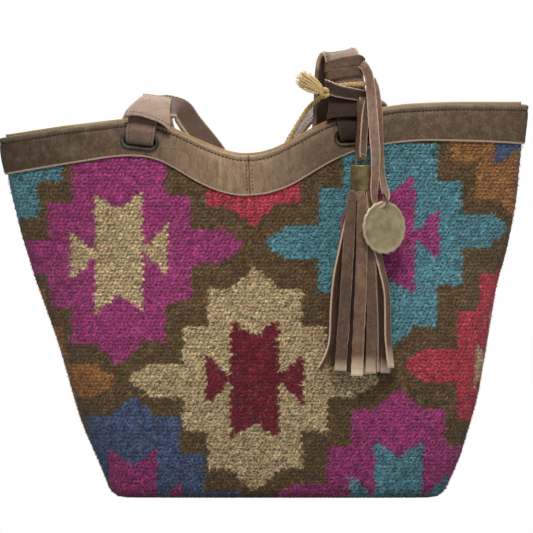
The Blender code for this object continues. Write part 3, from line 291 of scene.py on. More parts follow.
MEDALLION_LACE = (
    (361.0, 64.0, -0.0440, (0.90, -0.2, 0.40), 0.0080, LACE_THICK),
    (365.6, 68.0, -0.0478, (0.95, -0.1, 0.30), 0.0085, LACE_THICK),
    (369.2, 78.0, -0.0500, (0.98, -0.05, 0.18), 0.0085, LACE_THICK),
    (371.4, 96.0, -0.0530, (0.99, 0.0, 0.12), 0.0092, LACE_THICK),
    (373.2, 122.0, -0.0620, (0.99, 0.0, 0.08), 0.0095, LACE_THICK),
    (375.4, 150.0, -0.0710, (0.99, 0.10, 0.05), 0.0090, LACE_THICK),
    (375.4, 172.0, -0.0770, (0.97, 0.20, 0.03), 0.0082, LACE_THICK),
    (374.0, 190.0, -0.0800, (0.92, 0.38, 0.0), 0.0076, LACE_THICK),
    (375.0, 203.0, -0.0822, (0.9, 0.4, 0.1), 0.0050, 0.0020),
    (379.6, 206.5, -0.0835, (0.57, -0.81, 0.0), 0.0036, 0.0028),
    (384.0, 204.0, -0.0838, (0.5, -0.85, 0.1), 0.0036, 0.0028),
    (386.6, 197.0, -0.0815, (0.8, -0.5, -0.1), 0.0062, 0.0020),
    (383.4, 184.0, -0.0765, (0.92, 0.30, 0.0), 0.0070, LACE_THICK),
    (380.8, 166.0, -0.0705, (0.80, 0.60, 0.05), 0.0076, LACE_THICK),
    (380.0, 142.0, -0.0630, (0.62, 0.78, 0.06), 0.0088, LACE_THICK),
    (378.6, 114.0, -0.0550, (0.75, 0.66, 0.10), 0.0090, LACE_THICK),
    (375.8, 94.0, -0.0490, (0.85, 0.5, 0.12), 0.0090, LACE_THICK),
    (371.5, 79.0, -0.0455, (0.95, -0.05, 0.2), 0.0085, LACE_THICK),
)
TASSEL_LACES = (
    (
        (363.5, 97.5, -0.0470, (0.9, 0.3, 0.0), 0.0085, LACE_THICK),
        (364.3, 104.0, -0.0500, (0.9, 0.40, 0.0), 0.0085, LACE_THICK),
        (364.0, 120.0, -0.0575, (0.9, 0.40, 0.0), 0.0082, LACE_THICK),
        (363.0, 140.0, -0.0660, (0.92, 0.35, 0.0), 0.0080, LACE_THICK),
        (362.6, 153.0, -0.0715, (0.95, 0.2, 0.0), 0.0075, LACE_THICK),
        (362.0, 159.6, -0.0735, (0.98, 0.1, 0.0), 0.0070, LACE_THICK),
    ),
    (
        (361.4, 100.0, -0.0532, (0.95, -0.30, 0.0), 0.0076, LACE_THICK),
        (360.6, 107.0, -0.0556, (0.70, -0.71, 0.0), 0.0082, 0.0020),
        (360.0, 120.0, -0.0605, (0.42, -0.90, 0.0), 0.0085, 0.0020),
        (358.8, 138.0, -0.0670, (0.42, -0.90, 0.0), 0.0085, 0.0020),
        (357.9, 151.0, -0.0720, (0.50, -0.86, 0.0), 0.0080, 0.0020),
        (358.4, 158.4, -0.0745, (0.60, -0.8, 0.0), 0.0070, 0.0020),
    ),
)

# How far each fringe strip's pale foot reaches, in rows, and how deep in shade it hangs.
FOOT_ROWS = (0, 6, 8, 6, 8, 5, 5, 0, 0, 4)
FRINGE_SHADES = (0.0, 0.38, 0.02, 0.30, 0.10, 0.45, 0.55, 0.70, 0.75, 0.70)
FRINGE_THICKNESS = 0.0017
REAR_WIDTHS = (0.0050, 0.0085, 0.0100, 0.0102, 0.0104, 0.0106)

# Fringe strips: (pixel, pixel, sway in depth) down the strip, widths, turn in degrees and depth.
FRINGE = (
    (
        (
            (352, 190, 0.0), (348, 215, -0.001), (342, 245, -0.002), (336, 275, -0.002),
            (333, 305, -0.001), (331.5, 338, -0.001), (327, 355, -0.003), (319, 370, -0.006),
        ),
        (0.0050, 0.0085, 0.0105, 0.0108, 0.0108, 0.0106, 0.0104, 0.0100), 66.0, -0.0760,
    ),
    (
        (
            (353, 190, 0.0), (350.5, 215, -0.002), (348, 252, -0.003), (345.4, 299, -0.003),
            (342, 347, -0.002), (340.2, 371, -0.002),
        ),
        (0.0060, 0.0095, 0.0106, 0.0108, 0.0110, 0.0112), 8.0, -0.0800,
    ),
    (
        (
            (361, 190, 0.0), (362, 215, -0.002), (361.8, 252, -0.003), (360.4, 299, -0.003),
            (358, 347, -0.002), (357, 376, -0.002),
        ),
        (0.0060, 0.0098, 0.0104, 0.0108, 0.0110, 0.0112), -6.0, -0.0815,
    ),
    (
        (
            (366, 190, 0.0), (368.6, 222, -0.001), (371, 260, -0.002), (372, 299, -0.002),
            (371.6, 340, -0.001), (370.6, 373.5, -0.001),
        ),
        (0.0050, 0.0085, 0.0095, 0.0098, 0.0100, 0.0100), 12.0, -0.0790,
    ),
    (
        (
            (367, 190, 0.0), (371, 215, 0.0), (377, 250, 0.0), (382.5, 272, 0.0), (387, 296, 0.0),
            (388, 338, 0.0), (391, 368, 0.0),
        ),
        (0.0050, 0.0085, 0.0100, 0.0100, 0.0100, 0.0102, 0.0104), 58.0, -0.0775,
    ),
    (
        (
            (364, 190, 0.0), (369.5, 220, 0.0), (375.8, 262, 0.0), (378.5, 299, 0.0), (379.6, 340, 0.0),
            (379.0, 372, 0.0),
        ),
        REAR_WIDTHS, 72.0, -0.0765,
    ),
    (
        (
            (360, 190, 0.0), (366, 225, 0.0), (376, 262, 0.0), (382.5, 299, 0.0), (384.6, 340, 0.0),
            (385.4, 373, 0.0),
        ),
        REAR_WIDTHS, 40.0, -0.0700,
    ),
    (
        (
            (352, 190, 0.0), (346, 225, 0.0), (341, 262, 0.0), (337.6, 299, 0.0), (336, 330, 0.0),
            (334.4, 366, 0.0),
        ),
        REAR_WIDTHS, 24.0, -0.0700,
    ),
    (
        (
            (357, 190, 0.0), (355.5, 225, 0.0), (354, 262, 0.0), (352.4, 299, 0.0), (350.6, 340, 0.0),
            (349.6, 372, 0.0),
        ),
        REAR_WIDTHS, -14.0, -0.0720,
    ),
    (
        (
            (362, 190, 0.0), (364, 225, 0.0), (365.6, 262, 0.0), (366.0, 299, 0.0), (365.0, 340, 0.0),
            (364.4, 374, 0.0),
        ),
        REAR_WIDTHS, 10.0, -0.0710,
    ),
)

# Studio lamps: name, place, size, power and tint.
LAMPS = (
    ("key", (0.10, -1.45, 1.85), 0.7, 27.0, (1.0, 0.985, 0.96)),
    ("fill", (1.5, -1.5, 0.8), 1.2, 2.5, (0.96, 0.98, 1.0)),
    ("top", (0.1, 0.25, 2.0), 0.9, 20.0, (1.0, 1.0, 1.0)),
    ("rear", (-0.6, 2.2, 1.3), 1.6, 20.0, (1.0, 1.0, 1.0)),
)


def linear(colour):
    """A screen colour, 0 to 255, as the light it stands for."""
    return tuple((c / 255.0 / 12.92) if c < 10.3 else (((c / 255.0) + 0.055) / 1.055) ** 2.4 for c in colour)


def scaled(colour, by):
    """A screen colour as light, made darker or paler."""
    return tuple(min(1.0, c * by) for c in linear(colour))


def unit(vectors):
    return vectors / np.linalg.norm(vectors, axis=-1, keepdims=True)


def ways_along(line):
    """The direction of a line of points at each of them."""
    return unit(np.gradient(line, axis=0))


def gone_along(line):
    """The distance gone along a line of points at each of them."""
    return np.concatenate(([0.0], np.cumsum(np.linalg.norm(np.diff(line, axis=0), axis=1))))


def soft_line(at, line):
    places, values = [p[0] for p in line], [p[1] for p in line]
    at = np.asarray(at, float)
    return sum(np.interp(at + d, places, values) for d in np.linspace(-SOFTEN, SOFTEN, 9)) / 9.0


def half_section(z):
    """The front half of the body's outline at a height."""
    left = soft_line(z, SIDE_LEFT)
    right = soft_line(z, SIDE_RIGHT)
    depth = soft_line(z, HALF_DEPTH)
    rise = min(1.0, max(0.0, z / SQUARE_TO_HEIGHT))
    rise = rise * rise * (3.0 - 2.0 * rise)
    across = BASE_SQUARENESS + (RIM_ROUNDNESS[0] - BASE_SQUARENESS) * rise
    along = BASE_SQUARENESS + (RIM_ROUNDNESS[1] - BASE_SQUARENESS) * rise
    turn = np.linspace(0.0, math.pi, 361)
    middle, reach = (left + right) / 2.0, (right - left) / 2.0
    x = middle - reach * np.sign(np.cos(turn)) * np.abs(np.cos(turn)) ** (2.0 / across)
    y = -depth * np.abs(np.sin(turn)) ** (2.0 / along)
    y[0] = y[-1] = 0.0
    return x, y


class Skin:
    """The outer skin as a table over (height, share of the front half), read smoothly."""

    SHARES = 441
    HEIGHTS = 161
    TOP = 0.39
    STEP_ALONG = 0.012
    STEP_UP = 0.004

    def __init__(self):
        grid = np.linspace(0.0, 1.0, self.SHARES)
        rows = []
        self.lengths = []
        for z in np.linspace(0.0, self.TOP, self.HEIGHTS):
            x, y = half_section(z)
            length = np.concatenate(([0.0], np.cumsum(np.hypot(np.diff(x), np.diff(y)))))
            at = grid * length[-1]
            rows.append(np.stack((np.interp(at, length, x), np.interp(at, length, y)), axis=-1))
            self.lengths.append(length[-1])
        self.table = np.array(rows)
        self.lengths = np.array(self.lengths)

    def half(self, share, z):
        s = np.clip(share, 0.0, 1.0) * (self.SHARES - 1)
        h = np.clip(z / self.TOP, 0.0, 1.0) * (self.HEIGHTS - 1)
        i = np.minimum(s.astype(int), self.SHARES - 2)
        k = np.minimum(h.astype(int), self.HEIGHTS - 2)
        s, h = (s - i)[..., None], (h - k)[..., None]
        low = self.table[k, i] * (1 - s) + self.table[k, i + 1] * s
        high = self.table[k + 1, i] * (1 - s) + self.table[k + 1, i + 1] * s
        return low * (1 - h) + high * h

    def point(self, share, z):
        """World points of the skin; share 0..1 is the front, 1..2 the rear."""
        share, z = np.broadcast_arrays(np.asarray(share, float) % 2.0, np.asarray(z, float))
        back = share > 1.0
        xy = self.half(np.where(back, 2.0 - share, share), z)
        y = np.where(back, -xy[..., 1], xy[..., 1])
        return np.stack((xy[..., 0], y + DEPTH, z), axis=-1)

    def normal(self, share, z):
        share, z = np.broadcast_arrays(np.asarray(share, float), np.asarray(z, float))
        across = self.point(share + self.STEP_ALONG, z) - self.point(share - self.STEP_ALONG, z)
        below = self.point(share, np.maximum(0.0, z - self.STEP_UP))
        return unit(np.cross(across, self.point(share, z + self.STEP_UP) - below))

    def length(self, z):
        return np.interp(z, np.linspace(0.0, self.TOP, self.HEIGHTS), self.lengths)

    def at(self, share, z, off=0.0):
        return self.point(share, z) + self.normal(share, z) * np.asarray(off, float)[..., None]


SKIN = Skin()


def height_of(share, line, start):
    """The height at which a line over x crosses the skin at a share of its girth."""
    z = np.full(np.shape(share), start)
    for _ in range(6):
        z = soft_line(SKIN.point(share, z)[..., 0], line)
    return z


def rim_at(share):
    return height_of(share, RIM_LINE, NEAR_RIM)


def foot_at(share):
    return height_of(share, BAND_LINE, NEAR_FOOT)


def share_at(x, z, back=False):
    """The share of the girth at which the skin has an x."""
    low, high = 0.0, 1.0
    for _ in range(40):
        middle = (low + high) / 2.0
        if SKIN.point(middle, z)[0] < x:
            low = middle
        else:
            high = middle
    return 2.0 - low if back else low


# Materials.


class Nodes:
    """Short calls for building a material's nodes."""

    def __init__(self, name):
        self.material = bpy.data.materials.new(name)
        self.material.use_nodes = True
        self.tree = self.material.node_tree
        self.shader = self.tree.nodes["Principled BSDF"]

    def link(self, source, target):
        self.tree.links.new(source, target)

    def put(self, socket, value):
        if isinstance(value, bpy.types.NodeSocket):
            self.link(value, socket)
        elif value is not None:
            socket.default_value = value

    def math(self, operation, a, b=None, c=None):
        node = self.tree.nodes.new("ShaderNodeMath")
        node.operation = operation
        for socket, value in zip(node.inputs, (a, b, c)):
            self.put(socket, value)
        return node.outputs[0]

    def times(self, first, *others):
        for other in others:
            first = self.math("MULTIPLY", first, other)
        return first

    def plus(self, a, b):
        return self.math("ADD", a, b)

    def minus(self, a, b):
        return self.math("SUBTRACT", a, b)

    def split(self, vector):
        node = self.tree.nodes.new("ShaderNodeSeparateXYZ")
        self.link(vector, node.inputs[0])
        return node.outputs

    def coords(self, scale=(1.0, 1.0, 1.0), uv=False, rotation=(0.0, 0.0, 0.0)):
        where = self.tree.nodes.new("ShaderNodeTexCoord")
        mapping = self.tree.nodes.new("ShaderNodeMapping")
        mapping.inputs["Scale"].default_value = scale
        mapping.inputs["Rotation"].default_value = rotation
        self.link(where.outputs["UV" if uv else "Object"], mapping.inputs["Vector"])
        return mapping.outputs[0]

    def noise(self, vector, scale, detail=3.0, roughness=0.55, distortion=0.0):
        node = self.tree.nodes.new("ShaderNodeTexNoise")
        self.link(vector, node.inputs["Vector"])
        for name, value in (
            ("Scale", scale), ("Detail", detail), ("Roughness", roughness), ("Distortion", distortion)
        ):
            node.inputs[name].default_value = value
        return node.outputs[0]

    def voronoi(self, vector, scale, feature="F1"):
        node = self.tree.nodes.new("ShaderNodeTexVoronoi")
        node.feature = feature
        self.link(vector, node.inputs["Vector"])
        node.inputs["Scale"].default_value = scale
        return node.outputs["Distance"]

    def grey(self, value, low, high, out_low=0.0, out_high=1.0):
        node = self.tree.nodes.new("ShaderNodeMapRange")
        for socket, item in zip(node.inputs[:5], (value, low, high, out_low, out_high)):
            self.put(socket, item)
        return node.outputs[0]

    def mix(self, share, a, b, blend="MIX"):
        node = self.tree.nodes.new("ShaderNodeMix")
        node.data_type = "RGBA"
        node.blend_type = blend
        self.put(node.inputs[0], share)
        for socket, value in ((node.inputs[6], a), (node.inputs[7], b)):
            if isinstance(value, tuple):
                value = (*value, 1.0)[:4]
            self.put(socket, value)
        return node.outputs[2]

    def attribute(self, name):
        node = self.tree.nodes.new("ShaderNodeAttribute")
        node.attribute_name = name
        return node

    def worn(self, name):
        """The strength of a mark that is painted on a piece."""
        return self.attribute(name).outputs["Fac"]

    def bump(self, height, distance, strength=1.0, onto=None):
        node = self.tree.nodes.new("ShaderNodeBump")
        node.inputs["Strength"].default_value = strength
        node.inputs["Distance"].default_value = distance
        self.link(height, node.inputs["Height"])
        if onto is not None:
            self.link(onto, node.inputs["Normal"])
        return node.outputs[0]

    def finish(self, colour, roughness, normal=None, metallic=0.0, sheen=0.0, specular=0.5):
        for name, value in (
            ("Base Color", (*colour, 1.0) if isinstance(colour, tuple) else colour),
            ("Roughness", roughness), ("Metallic", metallic), ("Sheen Weight", sheen),
            ("Specular IOR Level", specular),
        ):
            self.put(self.shader.inputs[name], value)
        self.shader.inputs["Sheen Roughness"].default_value = SHEEN_ROUGHNESS
        if normal is not None:
            self.link(normal, self.shader.inputs["Normal"])
        return self.material


def dome(n, share, power):
    """One across the middle of a float, falling to nothing at its two ends."""
    off_middle = n.math("ABSOLUTE", n.minus(n.times(share, 2.0), 1.0))
    return n.minus(1.0, n.math("POWER", off_middle, power))


def wool_material():
    n = Nodes("wool_weave")
    yarn = n.attribute("yarn").outputs["Color"]
    uv = n.coords(uv=True)
    cloth = n.split(uv)
    sway = n.minus(n.noise(uv, 260.0, 2.0, 0.5), 0.5)
    lift = n.minus(n.noise(n.coords(uv=True, rotation=(0.0, 0.0, 1.3)), 210.0, 1.0, 0.5), 0.5)
    across = n.math("DIVIDE", n.plus(cloth[0], n.times(sway, 0.0044)), FLOAT_LENGTH)
    up = n.math("DIVIDE", n.plus(cloth[1], n.times(lift, 0.0042)), FLOAT_RISE)
    row, high = n.math("FLOOR", up), n.math("FRACT", up)
    shift = n.times(n.math("MODULO", n.math("ABSOLUTE", row), 2.0), 0.5)
    slant = n.times(n.minus(high, 0.5), -0.80)
    along = n.math("FRACT", n.plus(n.plus(across, shift), slant))
    bulge = n.times(dome(n, along, 2.2), dome(n, high, 2.0))
    fibres = n.noise(n.coords((0.45, 1.6, 1.0), uv=True, rotation=(0.0, 0.0, 0.35)), 2600.0, 4.0, 0.65)
    lumps = n.noise(uv, 320.0, 3.0, 0.6)
    heather = n.noise(n.coords((1.0, 2.2, 1.0), uv=True), 150.0, 3.0, 0.6)
    broad = n.noise(n.coords(), 14.0, 2.0, 0.5)
    tufts = n.noise(n.coords((1.0, 1.9, 1.0), uv=True, rotation=(0.0, 0.0, 0.8)), 430.0, 3.0, 0.7)
    # Painted shade and highlight: each float's colour darkens towards its ends and the gaps between rows and
    # brightens across its crown.
    shade = n.times(
        n.grey(bulge, 0.0, 0.9, 0.24, 1.26), n.grey(tufts, 0.34, 0.66, 0.36, 1.70),
        n.grey(heather, 0.3, 0.7, 0.80, 1.20), n.grey(fibres, 0.25, 0.75, 0.62, 1.36),
        n.grey(broad, 0.3, 0.7, 0.86, 1.14),
        # Painted shade: the wool is darker towards the base, where less light falls from above.
        n.grey(n.split(n.coords())[2], 0.02, 0.17, 0.72, 1.0),
    )
    # Warm warp shows in the gaps between floats.
    gap = n.grey(bulge, 0.0, 0.30, 0.42, 0.0)
    tone = n.tree.nodes.new("ShaderNodeVectorMath")
    tone.operation = "SCALE"
    n.link(n.mix(gap, yarn, linear((128, 94, 54))), tone.inputs[0])
    n.link(shade, tone.inputs["Scale"])
    normal = n.bump(n.plus(n.times(bulge, 1.0), n.times(lumps, 0.7)), 0.0009, 0.8)
    normal = n.bump(fibres, 0.0006, 0.9, normal)
    return n.finish(tone.outputs[0], 0.96, normal, sheen=0.25, specular=0.12)


def painted_light_and_shade(n, colour, dark, glow):
    """Painted light: leather lightened in streaks round a place along x; painted shade: the leather darkened
    far to its left.
    """
    x = n.split(n.coords())[0]
    away = n.math("DIVIDE", n.minus(x, glow[0]), glow[1])
    near = n.math("POWER", 2.718, n.times(away, away, -1.0))
    streaks = n.noise(n.coords((1.0, 1.0, 0.28), rotation=(0.0, 0.5, 0.0)), 150.0, 4.0, 0.65, 1.2)
    share = n.times(near, n.grey(streaks, 0.30, 0.66, 0.20, 1.0))
    colour = n.mix(share, colour, linear(glow[2]))
    return n.mix(n.grey(x, -0.25, -0.13, 0.42, 0.0), colour, scaled(dark, 0.7))


def leather_material(
    name, base, pale, dark, wear=0.5, rough=0.55, inside=(70, 48, 36), fleck=0.30, glow=None
):
    """Leather with its grain and pores; edge, under, foot and shade are marks painted on a piece: under
    darkens a raw underside and a hollow end, partly as painted shade, shade is painted shade, and glow adds
    painted light and shade.
    """
    n = Nodes(name)
    where = n.coords()
    cloud = n.noise(where, 22.0, 4.0, 0.6)
    mottle = n.noise(where, 130.0, 4.0, 0.6)
    pores = n.voronoi(where, 900.0)
    grain = n.noise(where, 700.0, 4.0, 0.7)
    crease = n.grey(n.voronoi(n.coords((1.0, 1.0, 0.55)), 70.0, "DISTANCE_TO_EDGE"), 0.0, 0.045, 1.0, 0.0)
    half_dark = tuple((a + b) / 2.0 for a, b in zip(linear(dark), linear(base)))
    colour = n.mix(n.grey(cloud, 0.28, 0.62), half_dark, linear(base))
    colour = n.mix(n.times(n.grey(mottle, 0.45, 0.75), 0.16), colour, linear(pale))
    colour = n.mix(n.times(n.grey(grain, 0.40, 0.72), fleck), colour, linear(pale))
    if glow is not None:
        colour = painted_light_and_shade(n, colour, dark, glow)
    colour = n.mix(n.times(n.grey(pores, 0.30, 0.05), 0.35), colour, linear(dark))
    colour = n.mix(n.times(crease, 0.22), colour, linear(dark))
    colour = n.mix(n.worn("shade"), colour, scaled(dark, 0.3))
    # Painted shade, in part: raw undersides and hollow ends are darkened towards the inside colour.
    colour = n.mix(n.times(n.worn("under"), 0.85), colour, linear(inside))
    foot = n.times(n.worn("foot"), n.grey(mottle, 0.25, 0.6, 0.70, 1.0))
    colour = n.mix(foot, colour, scaled(pale, 1.35))
    rub = n.times(n.worn("edge"), n.grey(grain, 0.25, 0.6, 0.45, 1.0))
    colour = n.mix(n.times(rub, wear), colour, linear(pale))
    height = n.plus(n.times(pores, 0.5), n.times(grain, 0.7))
    height = n.minus(height, n.times(crease, 0.35))
    normal = n.bump(cloud, 0.006, 0.35, n.bump(height, 0.0006, 0.55))
    return n.finish(colour, n.grey(mottle, 0.3, 0.7, rough - 0.08, rough + 0.12), normal, specular=0.35)


def metal_material(name, bright, dull, patina, rough=0.38, hammered=0.0, metallic=0.85):
    n = Nodes(name)
    where = n.coords()
    cloud = n.noise(where, 90.0, 5.0, 0.65)
    specks = n.noise(where, 900.0, 3.0, 0.7)
    colour = n.mix(n.grey(cloud, 0.38, 0.62), linear(dull), linear(bright))
    colour = n.mix(n.times(n.grey(specks, 0.55, 0.7), 0.6), colour, linear(patina))
    # Painted highlight: an edge mark lightens the metal.
    colour = n.mix(n.times(n.worn("edge"), 0.8), colour, scaled(bright, 1.2))
    normal = n.bump(n.plus(specks, n.times(cloud, hammered)), 0.0004, 0.5)
    return n.finish(colour, n.grey(cloud, 0.35, 0.65, rough, rough + 0.25), normal, metallic=metallic)


def thread_material(name, colour, deep=0.42):
    n = Nodes(name)
    twist = n.noise(n.coords(), 1300.0, 3.0, 0.65)
    tone = n.mix(n.grey(twist, 0.38, 0.62), scaled(colour, deep), linear(colour))
    return n.finish(tone, 0.8, n.bump(twist, 0.0003, 0.6), specular=0.3)


def cotton_material():
    n = Nodes("cotton")
    weave = n.noise(n.coords((1.0, 1.0, 3.0)), 1300.0, 2.0, 0.5)
    cloud = n.noise(n.coords(), 25.0, 3.0, 0.5)
    colour = n.mix(n.grey(cloud, 0.3, 0.7), linear((168, 142, 92)), linear((205, 180, 128)))
    colour = n.mix(n.times(n.grey(weave, 0.4, 0.7), 0.4), colour, linear((130, 104, 62)))
    return n.finish(colour, 0.95, n.bump(weave, 0.0004, 0.6), specular=0.1)


# Pieces.


def piece(name, verts, faces, material, body="bag"):
    mesh = bpy.data.meshes.new(name)
    mesh.from_pydata([tuple(v) for v in verts], [], faces)
    mesh.update()
    made = bpy.data.objects.new(name, mesh)
    bpy.context.scene.collection.objects.link(made)
    mesh.shade_smooth()
    mesh.materials.append(material)
    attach(made, body)
    return made


def grid_faces(rows, columns, start=0, flip=False):
    """Quads over rows of points that run along the columns."""
    r, c = np.meshgrid(np.arange(rows - 1), np.arange(columns - 1), indexing="ij")
    a = start + r * columns + c
    quads = np.stack((a, a + 1, a + columns + 1, a + columns), axis=-1).reshape(-1, 4)
    return quads[:, ::-1] if flip else quads


def ring_faces(rings, around, start=0):
    """Quads that join closed rings of points, each ring to the next."""
    faces = []
    for low in range(start, start + (rings - 1) * around, around):
        for k in range(around):
            nxt = (k + 1) % around
            faces.append((low + k, low + nxt, low + around + nxt, low + around + k))
    return faces


def tube_faces(rings, around, start=0):
    """Ring faces with both ends closed."""
    last = start + (rings - 1) * around
    ends = [tuple(range(start, start + around))[::-1], tuple(range(last, last + around))]
    return ring_faces(rings, around, start) + ends


def paint(made, name, values, domain="POINT"):
    layer = made.data.attributes.new(name, "FLOAT", domain)
    layer.data.foreach_set("value", np.asarray(values, "f").ravel())


def paint_yarn(made, colours):
    """Gives every face of a piece the colour of its yarn."""
    layer = made.data.attributes.new("yarn", "FLOAT_COLOR", "FACE")
    layer.data.foreach_set("color", np.concatenate(colours).astype("f").ravel())


def motif_colour(px, py):
    """The yarn's name at a place of the photograph, for whole arrays."""
    names = np.full(px.shape, "ground", dtype=object)
    for (cx, cy), outer, inner in MOTIFS:
        dx = px - cx
        dy = py - cy + (RIM_ROW_TILT * dx if cy < TILTED_ABOVE else 0.0)
        ax, ay = np.abs(dx), np.abs(dy)
        arm = (ay < 17) & (ax < 123 - np.maximum(0.0, ay - 4.0) * 1.5)
        block = (ax < 72) & (ay < 53)
        tower = (ax < 47) & (ay < 91)
        tip = (ay >= 91) & (ax < 24 - (ay - 91) * 1.1)
        body = arm | block | tower | tip
        column = (ax < 24.0) & (ay < 43.0 + 17.0 * ax / 24.0)
        wing = (ax >= 24.0) & (ax < 49) & (ay < 2.0 + (ax - 24.0) * 24.0 / 25.0)
        names[body] = outer
        names[body & (column | wing)] = inner
    return names


def project(points):
    """Place in the photograph of world points, through the camera."""
    away = CAMERA_DISTANCE + points[..., 1] - SCALE_PLANE
    scale = CAMERA_DISTANCE / away
    middle_x = (PHOTO / 2.0 - PIXEL_X) * PIXEL
    middle_z = (PIXEL_Z - PHOTO / 2.0) * PIXEL
    px = PHOTO / 2.0 + (points[..., 0] - middle_x) * scale / PIXEL
    py = PHOTO / 2.0 - (points[..., 2] - middle_z) * scale / PIXEL
    return px, py


def place(px, py, y):
    """World point seen at a pixel of the photograph, at a depth measured before DEPTH."""
    scale = PIXEL * (CAMERA_DISTANCE + y + DEPTH - SCALE_PLANE) / CAMERA_DISTANCE
    return Vector((
        (PHOTO / 2.0 - PIXEL_X) * PIXEL + (px - PHOTO / 2.0) * scale, y + DEPTH,
        (PIXEL_Z - PHOTO / 2.0) * PIXEL - (py - PHOTO / 2.0) * scale,
    ))


def area_of(grid):
    """Area of a sheet given as a grid of points."""
    one, two = grid[1:, 1:] - grid[:-1, :-1], grid[1:, :-1] - grid[:-1, 1:]
    return float(np.linalg.norm(np.cross(one, two), axis=-1).sum() / 2.0)


def wall_grid(s, shares, rim):
    """Places and outward directions of a wall's threads: the half base, its fold and the wall."""
    # Each column of the wall is cut off at its own rim.
    z = np.minimum((np.arange(WALL_ROWS) * THREAD)[:, None], rim[None, :])
    s_grid = np.broadcast_to(s[None, :], z.shape)
    points = SKIN.point(s_grid, z)
    normals = SKIN.normal(s_grid, np.maximum(z, BASE_FOLD_RADIUS))
    # Its foot turns in round the fold.
    low = np.clip(1.0 - z / BASE_FOLD_RADIUS, 0.0, 1.0)
    level = np.sqrt(1.0 - low ** 2)
    flat = normals.copy()
    flat[..., 2] = 0.0
    points -= unit(flat) * (BASE_FOLD_RADIUS * (1.0 - level))[..., None]
    down = np.stack((np.zeros_like(low), np.zeros_like(low), -low), axis=-1)
    normals = unit(normals * level[..., None] + down)
    # The half base runs from its seam to the fold.
    edge = points[0]
    left, right = edge[0, 0], edge[-1, 0]
    count = len(shares)
    seam = np.stack((left + (right - left) * shares, np.full(count, DEPTH), np.zeros(count)), axis=-1)
    part = np.linspace(0.0, 1.0, BASE_ROWS, endpoint=False)[:, None, None]
    base = seam[None] * (1.0 - part) + edge[None] * part
    under = np.broadcast_to(np.array((0.0, 0.0, -1.0)), base.shape)
    return np.concatenate((base, points)), np.concatenate((under, normals))


def woven_face(points, normals, shares, rim, rng):
    """The outer face: floats in brick order stand proud of slack waves, and lie a little askew."""
    rows, columns = points.shape[:2]
    r, c = np.meshgrid(np.arange(rows), np.arange(columns), indexing="ij")
    crest = (r % 2 == 1) & ((c + (r // 2)) % 2 == 1)
    trough = r % 2 == 0
    proud = np.where(crest, FLOAT_PROUD, np.where(trough, -FLOAT_PROUD * TROUGH_SHARE, -FLOAT_PROUD))
    proud = proud + rng.normal(0.0, UNEVEN_PROUD, proud.shape)
    x, z = points[..., 0], points[..., 2]
    wave = SLACK_WAVE * np.sin(x * 31.0 + z * 17.0) * np.sin(z * 23.0 - 1.0)
    # The waves die out at the base, at the rim and at both sides.
    fade = np.clip((z - 0.03) / 0.05, 0.0, 1.0) * np.clip((rim[None, :] - 0.05 - z) / 0.05, 0.0, 1.0)
    fade = fade * np.clip(np.minimum(shares, 1.0 - shares) / 0.08, 0.0, 1.0)[None, :]
    outer = points + normals * (proud - WEAVE_SINK - np.abs(wave) * fade)[..., None]
    loose = np.ones((rows, columns, 1))
    loose[:2] = loose[-2:] = loose[:, :2] = loose[:, -2:] = 0.0
    across = unit(np.gradient(points, axis=1))
    upward = np.cross(normals, across)
    lean = (np.where(r // 2 % 2 == 0, 1.0, -1.0) * np.where(r % 2 == 1, 0.0, 1.0))[..., None]
    outer = outer + loose * (
        across * (rng.normal(0.0, UNEVEN_ACROSS, (rows, columns, 1)) + FLOAT_LEAN * lean)
        + upward * rng.normal(0.0, UNEVEN_UP, (rows, columns, 1))
    )
    outer[..., 2] = np.maximum(outer[..., 2], 0.0)
    return outer, across, upward


def wall_edge(rows, columns, in_columns):
    """Faces that join the outer face's edge to that of the inner face, which has half the threads."""
    loop = np.concatenate((
        np.arange(columns), np.arange(1, rows) * columns + columns - 1,
        (rows - 1) * columns + np.arange(columns - 2, -1, -1), np.arange(rows - 2, 0, -1) * columns,
    ))
    inner = rows * columns + (loop // columns // 2) * in_columns + (loop % columns) // 2
    faces = []
    for i in range(0, len(loop), 2):
        nxt = (i + 2) % len(loop)
        faces.append([int(v) for v in (loop[nxt], loop[i + 1], loop[i], inner[i], inner[nxt])])
    return faces


def lay_cloth_map(mesh, shares, rows):
    """Cloth coordinates in metres, which the wool's fibres follow."""
    u = (shares[None, :] - 0.5) * HALF_GIRTH + np.zeros((rows, 1))
    v = (np.arange(rows)[:, None] - BASE_ROWS) * THREAD + np.zeros((1, len(shares)))
    flat = np.stack((u, v), axis=-1)
    flat = np.concatenate((flat.reshape(-1, 2), flat[::2, ::2].reshape(-1, 2)))
    layer = mesh.uv_layers.new(name="cloth")
    indices = np.empty(len(mesh.loops), dtype=np.int32)
    mesh.loops.foreach_get("vertex_index", indices)
    layer.data.foreach_set("uv", flat[indices].astype("f").ravel())


